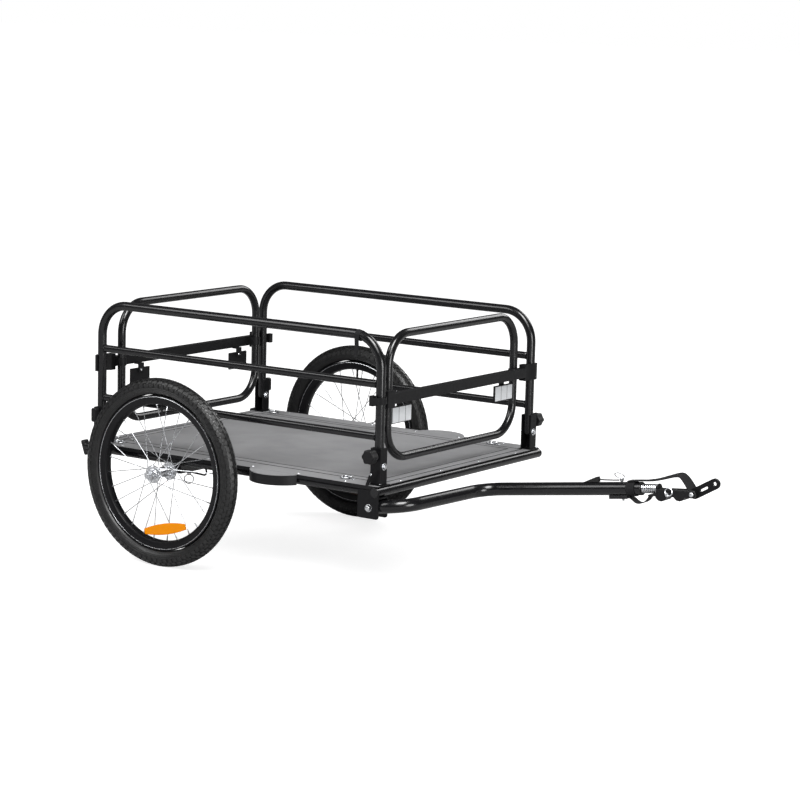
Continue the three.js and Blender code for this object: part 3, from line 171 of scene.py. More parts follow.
class TrailerColours(bpy.types.PropertyGroup):
    paint: colour("Paint", "Powder coat of the tubes", (0.006, 0.006, 0.007))
    plastic: colour("Plastic", "Moulded knobs, bars and coupler", (0.009, 0.009, 0.010))
    rubber: colour("Rubber", "Tyres and feet", (0.0085, 0.0085, 0.0088))
    fabric: colour("Deck fabric", "Coated cloth of the deck", (0.29, 0.29, 0.297))
    webbing: colour("Webbing", "Safety strap and fence strap", (0.004, 0.004, 0.005))
    steel: colour("Steel", "Zinc-plated small parts", (0.62, 0.63, 0.65))
    amber: colour("Amber", "Wheel reflectors", (0.95, 0.3, 0.0))
    red: colour("Red", "Rear reflectors", (0.45, 0.008, 0.012))
    clear: colour("Clear", "Front reflectors", (0.80, 0.82, 0.84))


def sizes():
    return bpy.context.scene.trailer_sizes


def colours():
    return bpy.context.scene.trailer_colours


# Materials

class Shader:
    """One principled material with its own Object coordinates."""

    def __init__(self, name, base, roughness, gloss=0.5, **sockets):
        self.material = bpy.data.materials.new(name)
        self.material.use_nodes = True
        self.tree = self.material.node_tree
        self.surface = self.tree.nodes["Principled BSDF"]
        self.set("Base Color", (*base, 1))
        self.set("Roughness", roughness)
        self.set("Specular IOR Level", gloss)
        for socket, value in sockets.items():
            self.set(socket.replace("_", " "), value)
        self.base = base
        self.where = self.tree.nodes.new("ShaderNodeTexCoord").outputs["Object"]
        self.bumped = None

    def set(self, socket, value):
        self.surface.inputs[socket].default_value = value

    def add(self, kind, **settings):
        node = self.tree.nodes.new(kind)
        for key, value in settings.items():
            if key in node.inputs:
                node.inputs[key].default_value = value
            else:
                setattr(node, key, value)
        return node

    def join(self, start, end):
        self.tree.links.new(start, end)

    def pattern(self, kind, output, **settings):
        node = self.add(kind, **settings)
        self.join(self.where, node.inputs["Vector"])
        return node.outputs[output]

    def noise(self, scale, detail):
        return self.pattern("ShaderNodeTexNoise", "Fac", Scale=scale, Detail=detail)

    def wave(self, scale, axis):
        return self.pattern("ShaderNodeTexWave", "Fac", Scale=scale, wave_type="BANDS", bands_direction=axis)

    def ramp(self, source, start, low, end, high):
        node = self.add("ShaderNodeValToRGB")
        for step, place, shade in zip(node.color_ramp.elements, (start, end), (low, high)):
            step.position = place
            step.color = (*shade, 1)
        self.join(source, node.inputs["Fac"])
        return node.outputs["Color"]

    def mottle(self, source, low, high, start=0.35, end=0.65):
        """The base colour varied by a pattern between two shares of itself."""
        dark = [min(1.0, part * low) for part in self.base]
        light = [min(1.0, part * high) for part in self.base]
        self.join(self.ramp(source, start, dark, end, light), self.surface.inputs["Base Color"])

    def wear(self, source, low, high, start=0.3, end=0.7):
        """The roughness varied by a pattern between two values."""
        self.join(self.ramp(source, start, (low,) * 3, end, (high,) * 3), self.surface.inputs["Roughness"])

    def bump(self, source, distance, strength):
        node = self.add("ShaderNodeBump", Distance=distance, Strength=strength)
        self.join(source, node.inputs["Height"])
        if self.bumped is not None:
            self.join(self.bumped, node.inputs["Normal"])
        self.bumped = node.outputs["Normal"]
        self.join(self.bumped, self.surface.inputs["Normal"])


def paint():
    shader = Shader(
        "gloss_black_powder_coat", colours().paint, 0.2, 0.25, Coat_Weight=0.3, Coat_Roughness=0.05
    )
    shader.wear(shader.noise(60, 4), 0.2, 0.3)
    shader.bump(shader.noise(900, 2), 0.06 * MM, 0.5)
    return shader.material


def pressed_paint(name="satin_black_plate"):
    shader = Shader(name, colours().paint, 0.34, 0.18)
    shader.wear(shader.noise(60, 4), 0.3, 0.42)
    shader.bump(shader.noise(900, 2), 0.06 * MM, 0.6)
    return shader.material


def plastic():
    shader = Shader("moulded_black_plastic", colours().plastic, 0.42, 0.2)
    shader.wear(shader.noise(80, 3), 0.36, 0.5)
    shader.bump(shader.noise(1600, 2), 0.08 * MM, 0.6)
    return shader.material


def rubber(name="black_rubber", roughness=0.72, gloss=0.3):
    shader = Shader(name, colours().rubber, roughness, gloss)
    shader.mottle(shader.noise(35, 5), 0.8, 1.5)
    shader.wear(shader.noise(120, 3), roughness - 0.1, roughness + 0.1)
    shader.bump(shader.noise(1400, 3), 0.12 * MM, 0.5)
    return shader.material


def coated_cloth():
    shader = Shader("grey_coated_cloth", colours().fabric, 0.64, 0.12)
    shader.mottle(shader.noise(9, 4), 0.92, 1.06)
    shader.wear(shader.noise(24, 3), 0.58, 0.7)
    for axis in "XY":
        shader.bump(shader.wave(420, axis), 0.06 * MM, 0.4)
    shader.bump(shader.noise(14, 3), 1.2 * MM, 0.35)
    return shader.material


def webbing():
    shader = Shader("woven_black_webbing", colours().webbing, 0.8, 0.25)
    shader.mottle(shader.noise(300, 2), 0.8, 1.7)
    shader.bump(shader.wave(260, "Y"), 0.25 * MM, 0.7)
    shader.bump(shader.wave(300, "X"), 0.2 * MM, 0.5)
    return shader.material


def steel():
    shader = Shader("zinc_plated_steel", colours().steel, 0.24, Metallic=1.0)
    shader.wear(shader.noise(180, 4), 0.18, 0.36)
    shader.bump(shader.noise(700, 3), 0.04 * MM, 0.4)
    return shader.material


def lens(name, shade, glow=0.0):
    shader = Shader(name, shade, 0.2, 0.12, Coat_Weight=0.05, Coat_Roughness=0.04)
    # The emission is a painted glow: the lens lights itself though it is no lamp.
    shader.set("Emission Color", (*shade, 1))
    shader.set("Emission Strength", glow)
    cells = shader.pattern("ShaderNodeTexVoronoi", "Distance", Scale=330.0, Randomness=0.0)
    shader.bump(cells, 0.8 * MM, 0.8)
    # Each cell is painted darker towards its edges: painted shade of the prism facets.
    shader.mottle(cells, 1.0, 0.72, 0.1, 0.6)
    return shader.material


MAKERS = {
    "paint": paint,
    "plate": pressed_paint,
    "plastic": plastic,
    "rubber": rubber,
    "tyre": lambda: rubber("tyre_rubber", 0.42, 0.45),
    "cloth": coated_cloth,
    "webbing": webbing,
    "steel": steel,
    "rim": lambda: pressed_paint("black_rim_anodising"),
    # The amber and clear lenses get a painted glow, the red lens none.
    "amber": lambda: lens("amber_lens", colours().amber, 0.12),
    "red": lambda: lens("red_lens", colours().red),
    "clear": lambda: lens("clear_lens", colours().clear, 0.25),
}
made_materials = {}


def material(key):
    if key not in made_materials:
        made_materials[key] = MAKERS[key]()
    return made_materials[key]


# Finished pieces

SHARP = radians(35)


def body_of(node):
    return frame["nodes"][node]["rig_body"]


def add_to_scene(name, data):
    thing = bpy.data.objects.new(name, data)
    bpy.context.scene.collection.objects.link(thing)
    return thing


def mesh_to_scene(name, bm, look):
    mesh = bpy.data.meshes.new(name)
    bm.to_mesh(mesh)
    bm.free()
    mesh.materials.append(look)
    return add_to_scene(name, mesh)


def soften(bm, angle):
    """Smooth shading, with the edges that turn by more than the angle kept sharp."""
    for face in bm.faces:
        face.smooth = True
    for edge in bm.edges:
        edge.smooth = len(edge.link_faces) == 2 and edge.calc_face_angle(0.0) < angle


def round_edges(piece, name, width, segments, angle):
    bevel = piece.modifiers.new(name, "BEVEL")
    bevel.width = width
    bevel.segments = segments
    bevel.limit_method = "ANGLE"
    bevel.angle_limit = angle
    return bevel


def finish(name, bm, look, body, replaced=None, rounding=0.0, recalc=True):
    """A bmesh becomes a finished piece that rides on a body, and the solid it replaces is hidden."""
    bmesh.ops.remove_doubles(bm, verts=bm.verts, dist=1e-6)
    if recalc:
        bmesh.ops.recalc_face_normals(bm, faces=bm.faces)
    soften(bm, SHARP)
    piece = mesh_to_scene(name, bm, material(look))
    if rounding:
        round_edges(piece, "edges", rounding, 2, SHARP).harden_normals = True
    if body:
        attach(piece, body)
    if replaced:
        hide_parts(replaced)
    return piece


def finish_steel(name, bm, body, rounding=0.0):
    """Small plated parts that only the scene has."""
    return finish(name, bm, "steel", body, rounding=rounding)


def dress(node, look, rounding=None):
    """A merged copy of a solid with rounded edges stands for it."""
    bm = bmesh.new()
    bm.from_mesh(frame["nodes"][node].data)
    bmesh.ops.remove_doubles(bm, verts=bm.verts, dist=1e-6)
    bmesh.ops.dissolve_limit(bm, angle_limit=radians(1), verts=bm.verts, edges=bm.edges)
    width = sizes().edge if rounding is None else rounding
    finish("finished_" + node, bm, look, body_of(node), node, rounding=width, recalc=False)


def thicken(piece, thickness, offset=0.0):
    solid = piece.modifiers.new("thickness", "SOLIDIFY")
    solid.thickness = thickness
    solid.offset = offset


def bend_with_hitch(piece):
    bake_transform(piece)


# Mesh helpers

def verts_in(made):
    return [part for part in made if isinstance(part, bmesh.types.BMVert)]


def edges_in(made):
    return [part for part in made if isinstance(part, bmesh.types.BMEdge)]


def edges_of(verts):
    return list({edge for vert in verts for edge in vert.link_edges})


def everything(bm):
    return list(bm.verts) + list(bm.edges) + list(bm.faces)


def turn_to(direction):
    """The rotation that takes Z to a direction."""
    return Z_AXIS.rotation_difference(Vector(direction)).to_matrix().to_4x4()


def spin(bm, geom, centre, axis, angle, steps, drift=(0, 0, 0), **how):
    """Parts spun round an axis; returns what lies at the far end."""
    return bmesh.ops.spin(
        bm, geom=geom, cent=centre, axis=axis, dvec=drift, angle=angle, steps=steps, **how
    )["geom_last"]


def add_circle(bm, centre, facing, radius, sides, filled=False):
    place = Matrix.Translation(centre) @ turn_to(facing)
    return bmesh.ops.create_circle(bm, cap_ends=filled, segments=sides, radius=radius, matrix=place)["verts"]


def add_rod(bm, start, end, radius, sides=16, tip=None):
    """A closed round rod between two points; tip is its radius at the end."""
    bmesh.ops.create_cone(
        bm,
        cap_ends=True,
        segments=sides,
        radius1=radius,
        radius2=radius if tip is None else tip,
        depth=(end - start).length,
        matrix=Matrix.Translation((start + end) / 2) @ turn_to(end - start),
    )


def add_block(bm, centre, size, turn=Matrix()):
    place = Matrix.Translation(centre) @ turn @ Matrix.Diagonal((*size, 1))
    return bmesh.ops.create_cube(bm, size=1, matrix=place)["verts"]


def add_ring(bm, centre, axis, radius, wire, steps=48, sides=10):
    """A closed ring of round wire about an axis."""
    axis = axis.normalized()
    out = axis.orthogonal().normalized()
    circle = add_circle(bm, centre + out * radius, axis.cross(out), wire, sides)
    spin(bm, circle + edges_of(circle), centre, axis, 2 * pi, steps, use_merge=True)


def add_dome(bm, centre, direction, radius, height, sides=16):
    """A low round head standing on a point."""
    place = Matrix.Translation(centre) @ turn_to(direction) @ Matrix.Diagonal((1, 1, height / radius, 1))
    bmesh.ops.create_uvsphere(bm, u_segments=sides, v_segments=8, radius=radius, matrix=place)


def add_bolt(bm, centre, direction, radius, height):
    """A hexagon head on its washer."""
    seat = centre + direction * 1.2 * MM
    top = seat + direction * height
    add_rod(bm, centre, seat, radius * 1.3, 24)
    add_rod(bm, seat, top, radius, 6)
    add_dome(bm, top, direction, radius * 0.8, height * 0.25)


def draw(bm, profile, centre, axis, out):
    """The points of a (radius, height) profile beside an axis."""
    return [bm.verts.new(centre + out * radius + axis * height) for radius, height in profile]


def spun(bm, profile, centre, axis, steps):
    """A closed profile spun right round an axis through a centre."""
    axis = axis.normalized()
    verts = draw(bm, profile, centre, axis, axis.orthogonal().normalized())
    edges = [bm.edges.new((verts[i - 1], verts[i])) for i in range(len(verts))]
    spin(bm, verts + edges, centre, axis, 2 * pi, steps, use_merge=True)


def sleeve(bm, centre, axis, inner, outer, half):
    """A short tube round an axis."""
    spun(bm, [(inner, -half), (outer, -half), (outer, half), (inner, half)], centre, axis, 48)


def arch(bm, profile, centre, axis, out, angle, steps):
    """A closed profile spun part of the way round an axis and capped."""
    verts = draw(bm, profile, centre, axis, out)
    first = bm.faces.new(verts)
    last = spin(bm, verts + list(first.edges), centre, axis, angle, steps)
    bmesh.ops.edgenet_fill(bm, edges=edges_in(last))


class BentTube:
    """A round tube drawn as a bender makes it, from a start by straight runs and turns."""

    def __init__(self, start, heading, radius, sides=28, bm=None):
        self.bm = bm or bmesh.new()
        self.point = Vector(start)
        self.heading = Vector(heading).normalized()
        self.edge_loop = edges_of(add_circle(self.bm, self.point, self.heading, radius, sides))

    def verts(self):
        return list({vert for edge in self.edge_loop for vert in edge.verts})

    def run(self, distance):
        made = bmesh.ops.extrude_edge_only(self.bm, edges=self.edge_loop)["geom"]
        verts = verts_in(made)
        fresh = set(verts)
        bmesh.ops.translate(self.bm, verts=verts, vec=self.heading * distance)
        self.edge_loop = [edge for edge in edges_in(made) if set(edge.verts) <= fresh]
        self.point += self.heading * distance
        return self

    def bend(self, axis, angle, radius, steps=HOOP_STEPS):
        centre = self.point - self.heading.cross(axis) * radius
        last = spin(self.bm, self.verts() + self.edge_loop, centre, axis, angle, steps)
        self.edge_loop = edges_in(last)
        turn = Matrix.Rotation(angle, 3, axis)
        self.point = centre + turn @ (self.point - centre)
        self.heading = turn @ self.heading
        return self

    def taper(self, share):
        """The tube's open end drawn in to a share of its radius, in its own plane."""
        self.run(0)
        for vert in self.verts():
            vert.co = self.point + (vert.co - self.point) * share
        return self

    def close(self):
        loops = [edge for edge in self.bm.edges if edge.is_boundary]
        bmesh.ops.holes_fill(self.bm, edges=loops, sides=0)
        return self.bm


def strip(bm, points, width, across, twists=None):
    """A band of webbing pulled through points, across its width; twists turn it about its run."""
    twists = twists or [0.0] * len(points)

    def edge_at(i):
        ahead = points[min(i + 1, len(points) - 1)] - points[max(i - 1, 0)]
        return Matrix.Rotation(twists[i], 3, ahead.normalized()) @ across * (width / 2)

    ends = [bm.verts.new(points[0] - edge_at(0)), bm.verts.new(points[0] + edge_at(0))]
    edge = bm.edges.new(ends)
    for i in range(1, len(points)):
        made = bmesh.ops.extrude_edge_only(bm, edges=[edge])["geom"]
        ends = verts_in(made)
        ends.sort(key=lambda vert: (vert.co - points[i - 1]).dot(edge_at(i - 1)))
        ends[0].co = points[i] - edge_at(i)
        ends[1].co = points[i] + edge_at(i)
        edge = next(part for part in edges_in(made) if set(part.verts) == set(ends))


EASE_STEPS = 6


def eased(points):
    """Points on a smooth curve through the given ones."""
    out = []
    for i in range(len(points) - 1):
        before = points[max(i - 1, 0)]
        a, b = points[i], points[i + 1]
        after = points[min(i + 2, len(points) - 1)]
        for step in range(EASE_STEPS):
            t = step / EASE_STEPS
            square = 2 * before - 5 * a + 4 * b - after
            cube = 3 * a - before - 3 * b + after
            out.append(0.5 * (2 * a + (b - before) * t + square * t**2 + cube * t**3))
    return out + [points[-1].copy()]


# Operators, one for each piece or group of like pieces

class StageOperator(bpy.types.Operator):
    """Lay the floor and set the lamps and the camera"""

    bl_idname = "trailer.stage"
    bl_label = "Stage"

    lamps = (
        # name, place, size, power, lights matt faces too
        ("key_light", (2.4, -3.6, 4.6), 3.4, 230, True),
        ("fill_light", (-2.5, -2.9, 3.1), 2.4, 80, True),
        ("back_light", (0.6, 4.4, 3.2), 3.0, 110, True),
        ("strip_light", (1.35, -1.95, 4.7), 2.4, 300, False),
        ("post_light", (3.1, -1.25, 0.85), 1.6, 70, False),
    )
    lamp_target = Vector((-0.1, 0, 0.3))
    floor_half = 60
    floor_shade = 0.56
    floor_glow = 0.79  # for the camera alone, so that the floor looks white and keeps its shadows
    sky_matt = 0.42
    sky_gloss = 0.12
    azimuth = radians(34.808)
    elevation = radians(9.026)
    roll = radians(1.429)
    distance = 6.9842
    target = Vector((REAR_POST + 0.7, 0.0571, DECK_TOP + 0.1417))
    focal_pixels = 2598.53
    picture_pixels = 800
    sensor = 36
    sight = 200

    def execute(self, context):
        scene = context.scene
        scene.view_settings.view_transform = "Standard"
        self.floor()
        self.world(scene)
        for row in self.lamps:
            self.lamp(*row)
        self.camera(scene)
        return {"FINISHED"}

    def floor(self):
        bm = bmesh.new()
        bmesh.ops.create_grid(bm, x_segments=1, y_segments=1, size=self.floor_half)
        look = Shader("pale_floor", (self.floor_shade,) * 3, 0.9)
        ray = look.add("ShaderNodeLightPath")
        lift = look.add("ShaderNodeMath", operation="MULTIPLY")
        lift.inputs[1].default_value = self.floor_glow
        glow = look.add("ShaderNodeEmission")
        both = look.add("ShaderNodeAddShader")
        look.join(ray.outputs["Is Camera Ray"], lift.inputs[0])
        look.join(lift.outputs[0], glow.inputs["Strength"])
        look.join(look.surface.outputs[0], both.inputs[0])
        look.join(glow.outputs[0], both.inputs[1])
        look.join(both.outputs[0], look.tree.nodes["Material Output"].inputs["Surface"])
        mesh_to_scene("floor", bm, look.material)

    def world(self, scene):
        """White for the camera and through glass, dimmer for matt faces and dimmer still in gloss."""
        world = bpy.data.worlds.new("studio")
        scene.world = world
        world.use_nodes = True
        tree = world.node_tree
        back = tree.nodes["Background"]
        back.inputs["Color"].default_value = (1, 1, 1, 1)
        ray = tree.nodes.new("ShaderNodeLightPath")
        shown = tree.nodes.new("ShaderNodeMath")
        shown.operation = "MAXIMUM"
        dimmed = tree.nodes.new("ShaderNodeMapRange")
        dimmed.inputs["To Min"].default_value = self.sky_matt
        dimmed.inputs["To Max"].default_value = self.sky_gloss
        strength = tree.nodes.new("ShaderNodeMapRange")
        strength.inputs["To Max"].default_value = 1.0
        for start, end in (
            (ray.outputs["Is Camera Ray"], shown.inputs[0]),
            (ray.outputs["Is Transmission Ray"], shown.inputs[1]),
            (ray.outputs["Is Glossy Ray"], dimmed.inputs["Value"]),
            (shown.outputs[0], strength.inputs["Value"]),
            (dimmed.outputs["Result"], strength.inputs["To Min"]),
            (strength.outputs["Result"], back.inputs["Strength"]),
        ):
            tree.links.new(start, end)

    def lamp(self, name, place, size, power, lights_matt):
        data = bpy.data.lights.new(name, "AREA")
        data.shape = "DISK"
        data.size = size
        data.energy = power
        lamp = add_to_scene(name, data)
        lamp.location = place
        aim = self.lamp_target - Vector(place)
        lamp.rotation_euler = aim.to_track_quat("-Z", "Y").to_euler()
        lamp.visible_diffuse = lights_matt

    def camera(self, scene):
        back = Vector((
            sin(self.azimuth) * cos(self.elevation),
            -cos(self.azimuth) * cos(self.elevation),
            sin(self.elevation),
        ))
        data = bpy.data.cameras.new("camera")
        data.sensor_width = self.sensor
        data.lens = self.focal_pixels / self.picture_pixels * self.sensor
        data.clip_end = self.sight
        camera = add_to_scene("camera", data)
        turn = (-back).to_track_quat("-Z", "Y").to_matrix() @ Matrix.Rotation(self.roll, 3, "Z")
        camera.matrix_world = Matrix.Translation(self.target + back * self.distance) @ turn.to_4x4()
        scene.camera = camera


class FrameOperator(bpy.types.Operator):
    """Finish the frame under the deck: rails, beams, axles, feet and the tow bracket"""

    bl_idname = "trailer.frame"
    bl_label = "Frame"

    def execute(self, context):
        for node in ("front_rail", "rear_rail", "middle_beam", "axle_beam"):
            dress(node, "paint")
        dress("tow_bracket", "plate", 1.0 * MM)
        for side, _ in SIDES:
            dress("side_rail_" + side, "paint")
            dress("wheel_axle_" + side, "paint")
            dress("rear_foot_" + side, "rubber", 1.5 * MM)
        self.lever()
        self.link()
        return {"FINISHED"}

    def lever(self):
        centre = WHEEL_CENTRE["right"]
        start = Vector((centre.x + 8 * MM, -POST_SIDE - 6 * MM, centre.z - 3 * MM))
        hook = BentTube(start, (1, 0, -0.06), 2.6 * MM, 16)
        hook.run(72 * MM).bend(-Y_AXIS, radians(115), 9 * MM, 10).run(6 * MM)
        finish("beam_lever", hook.close(), "paint", "chassis")

    def link(self):
        centre = Vector((FRONT_POST - 8 * MM, -POST_SIDE - 31 * MM, DECK_TOP + 13 * MM))
        lean = Matrix.Rotation(radians(22), 4, "Y")
        bm = bmesh.new()
        add_block(bm, centre, (9 * MM, 4 * MM, 44 * MM), lean)
        foot = centre + Vector((-8 * MM, 0, -19 * MM))
        add_rod(bm, foot, foot + Y_AXIS * 24 * MM, 4.5 * MM)
        finish("bracket_link", bm, "plate", "chassis", rounding=1.5 * MM)
        rivet = bmesh.new()
        add_dome(rivet, centre + Vector((6 * MM, -2 * MM, 15 * MM)), -Y_AXIS, 3.4 * MM, 1.8 * MM)
        finish_steel("link_rivet", rivet, "chassis")


class DeckOperator(bpy.types.Operator):
    """Stretch the coated cloth over the frame, with its hems, screws and ring clips"""

    bl_idname = "trailer.deck"
    bl_label = "Deck"

    notch = 20.5 * MM  # half the cut-out round a post
    ease = 2.5 * MM  # the step from the hem up to the panel
    corner = 14 * MM
    grid = (56, 44)
    slack_reach = 60 * MM
    first_screw = 90 * MM  # ahead of the rear posts
    screw_pitch = 149 * MM
    side_hem = 10 * MM
    end_hem = 2.6 * MM
    hem_turned = (22 * MM, 6 * MM)  # cloth turned down at both sides and at both ends
    wing_reach = 52 * MM
    cover_thickness = 2.4 * MM
    outer_rails = ("side_rail_right", "side_rail_left", "front_rail", "rear_rail")

    def execute(self, context):
        cloth = self.cloth()
        self.screws()
        self.stitching()
        self.clips()
        for side, s in SIDES:
            self.wing(side, s)
        return {"FINISHED"}

    def cloth(self):
        half, centre = size_of("deck_sheet") / 2, middle("deck_sheet")
        low = centre - half
        bm = bmesh.new()
        place = Matrix.Translation((centre.x, 0, HEM_TOP)) @ Matrix.Diagonal((half.x, half.y, 1, 1))
        bmesh.ops.create_grid(bm, x_segments=1, y_segments=1, size=1, matrix=place)
        bmesh.ops.bevel(
            bm, geom=list(bm.verts), offset=self.corner, offset_type="OFFSET", segments=5, profile=0.5,
            affect="VERTICES",
        )
        panel = (half.x - PANEL_END, half.y - PANEL_SIDE)
        lines_x = [REAR_POST + self.notch, FRONT_POST - self.notch]
        lines_y = [s * (POST_SIDE + e * self.notch) for s in (-1, 1) for e in (-1, 1)]
        for sign in (-1, 1):
            lines_x += [centre.x + sign * (panel[0] + step * self.ease) for step in (0, 1, 2)]
            lines_y += [sign * (panel[1] + step * self.ease) for step in (0, 1, 2)]
        lines_x += [low.x + 2 * half.x * i / self.grid[0] for i in range(1, self.grid[0])]
        lines_y += [low.y + 2 * half.y * i / self.grid[1] for i in range(1, self.grid[1])]
        for axis, lines in ((X_AXIS, lines_x), (Y_AXIS, lines_y)):
            for line in lines:
                geom = everything(bm)
                bmesh.ops.bisect_plane(bm, geom=geom, plane_co=axis * line, plane_no=axis, dist=1e-7)
        gone = [face for face in bm.faces if self.at_post(face.calc_center_median())]
        bmesh.ops.delete(bm, geom=gone, context="FACES")
        for vert in bm.verts:
            inside = min(panel[0] - abs(vert.co.x - centre.x), panel[1] - abs(vert.co.y))
            vert.co.z += self.relief(vert.co, inside)
        edges = [edge for edge in bm.edges if edge.is_boundary]
        made = bmesh.ops.extrude_edge_only(bm, edges=edges)["geom"]
        for vert in verts_in(made):
            at_side = half.y - abs(vert.co.y) < 0.2 * MM
            vert.co.z -= self.side_hem if at_side else self.end_hem
        for face in bm.faces:
            face.material_index = int(face.calc_center_median().z < HEM_TOP - 1.2 * MM)
        bmesh.ops.recalc_face_normals(bm, faces=bm.faces)
        piece = finish("deck_cloth", bm, "cloth", "chassis", "deck_sheet", recalc=False)
        piece.data.materials.append(material("webbing"))
        thicken(piece, 2 * MM, -1.0)
        round_edges(piece, "folds", 0.9 * MM, 3, radians(50))
        return piece

    def at_post(self, spot):
        at_end = spot.x < REAR_POST + self.notch or spot.x > FRONT_POST - self.notch
        return at_end and abs(abs(spot.y) - POST_SIDE) < self.notch

    def relief(self, spot, inside):
        """The panel stands above the hems, with a seam beside its step and a little slack within."""
        rise = min(1.0, max(0.0, inside / self.ease + 1))
        seam = max(0.0, 1 - abs(inside + 1.6 * self.ease) / self.ease)
        waves = noise.noise(Vector((spot.x * 7, spot.y * 6, 0.3)))
        slack = waves * min(1.0, max(0.0, inside / self.slack_reach))
        return 1 * MM * rise * rise * (3 - 2 * rise) - 0.5 * MM * seam + 0.5 * MM * slack

    def screws(self):
        low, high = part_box("deck_sheet")
        row = [REAR_POST + (self.first_screw + self.screw_pitch * i) for i in range(6)]
        spots = [(x, s * (POST_SIDE + RAIL_OUT)) for _, s in SIDES for x in row]
        for x in (low.x + 9 * MM, high.x - 9 * MM):
            spots += [(x, y) for y in (-0.27, -0.09, 0.09, 0.27)]
        heads = bmesh.new()
        for x, y in spots:
            add_dome(heads, (x, y, HEM_TOP), Z_AXIS, 4.2 * MM, 1.6 * MM)
        finish_steel("deck_screws", heads, "chassis")

    def stitching(self):
        half, middle_x = size_of("deck_sheet") / 2, middle("deck_sheet").x
        thread, sunk = 1.7 * MM, 0.8 * MM
        bm = bmesh.new()
        for inset, rise in ((25 * MM, -0.8 * MM), (52 * MM, 0.15 * MM)):
            out = (half.x - inset, half.y - inset - (PANEL_SIDE - PANEL_END))
            for sign in (-1, 1):
                for axis in (0, 1):
                    spot = Vector((middle_x, 0, DECK_TOP + rise))
                    spot[axis] += sign * out[axis]
                    size = Vector((thread, thread, sunk))
                    size[1 - axis] = 2 * out[1 - axis]
                    add_block(bm, spot, size)
        finish("deck_stitching", bm, "webbing", "chassis")

    def clips(self):
        inner, outer, half = 3.0 * MM, 4.4 * MM, 4 * MM
        profile = [(inner, -half), (outer, -half), (outer, half), (inner, half)]
        bm = bmesh.new()
        for spot in TIE_RINGS.values():
            arch(bm, profile, spot, Y_AXIS, X_AXIS, -pi, 12)
            for sign in (-1, 1):
                leg = spot + Vector((sign * (inner + outer) / 2, 0, -1.7 * MM))
                add_block(bm, leg, (outer - inner, 2 * half, 3.4 * MM))
                add_block(bm, spot + Vector((sign * 9 * MM, 0, -2.8 * MM)), (12 * MM, 2 * half, 1.2 * MM))
                add_dome(bm, spot + Vector((sign * 11 * MM, 0, -2.2 * MM)), Z_AXIS, 2.6 * MM, 1.2 * MM)
        finish_steel("tie_ring_clips", bm, "chassis", 0.3 * MM)

    def wing(self, side, s):
        node = "side_wing_" + side
        low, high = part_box(node)
        chord = high.x - low.x
        edge = POST_SIDE + RAIL_OUT + RAIL_RADIUS
        radius = (chord * chord / 4 + self.wing_reach * self.wing_reach) / (2 * self.wing_reach)
        x, y = (low.x + high.x) / 2, s * (edge + self.wing_reach - radius)
        seam = high.z - self.cover_thickness
        for name, look, foot, top, inset in (
            ("board", "plastic", low.z, seam, 0.0),
            ("cover", "cloth", seam, high.z, 0.8 * MM),
        ):
            bm = bmesh.new()
            add_circle(bm, (x, y, foot), Z_AXIS, radius - inset, 128, True)
            cut = (0, s * (edge + 3.2 * MM), 0)
            bmesh.ops.bisect_plane(
                bm, geom=everything(bm), plane_co=cut, plane_no=(0, s, 0), clear_inner=True
            )
            raised = bmesh.ops.extrude_face_region(bm, geom=list(bm.faces))["geom"]
            bmesh.ops.translate(bm, verts=verts_in(raised), vec=(0, 0, top - foot))
            if name == "board":
                seat_top = HEM_TOP - 11 * MM
                seat = (x, s * (edge + 1.8 * MM), (low.z + seat_top) / 2)
                add_block(bm, seat, (chord * 0.9, 2.9 * MM, seat_top - low.z))
            replaced = node if name == "board" else None
            finish("wing_" + name + "_" + side, bm, look, "chassis", replaced, 1.2 * MM)


class BracketOperator(bpy.types.Operator):
    """Finish the fold brackets, their bolts and their lock knobs"""

    bl_idname = "trailer.brackets"
    bl_label = "Fold brackets"

    def execute(self, context):
        for corner, e, s in CORNERS:
            dress("fold_bracket_" + corner, "plate")
            dress("lock_knob_" + corner, "plastic", 1.2 * MM)
            post = Vector((REAR_POST if e < 0 else FRONT_POST, s * POST_SIDE, PIVOT_HEIGHT))
            bolts = bmesh.new()
            for sign in (-1, 1):
                add_bolt(bolts, post + X_AXIS * sign * 15.5 * MM, X_AXIS * sign, 7.3 * MM, 4.2 * MM)
                screw = (post.x + sign * 16 * MM, post.y + s * 16 * MM, DECK_TOP + 3 * MM)
                add_dome(bolts, screw, Z_AXIS, 3 * MM, 1.4 * MM)
            finish_steel("bracket_bolts_" + corner, bolts, "chassis", 0.3 * MM)
            if e > 0:
                self.boss_ring(corner, s)
        return {"FINISHED"}

    def boss_ring(self, corner, s):
        ring = bmesh.new()
        centre = Vector((FRONT_POST, s * (POST_SIDE + 20.7 * MM), middle("lock_knob_" + corner).z))
        add_ring(ring, centre, Y_AXIS, 9.4 * MM, 0.9 * MM, 32, 8)
        finish_steel("boss_ring_" + corner, ring, "chassis")


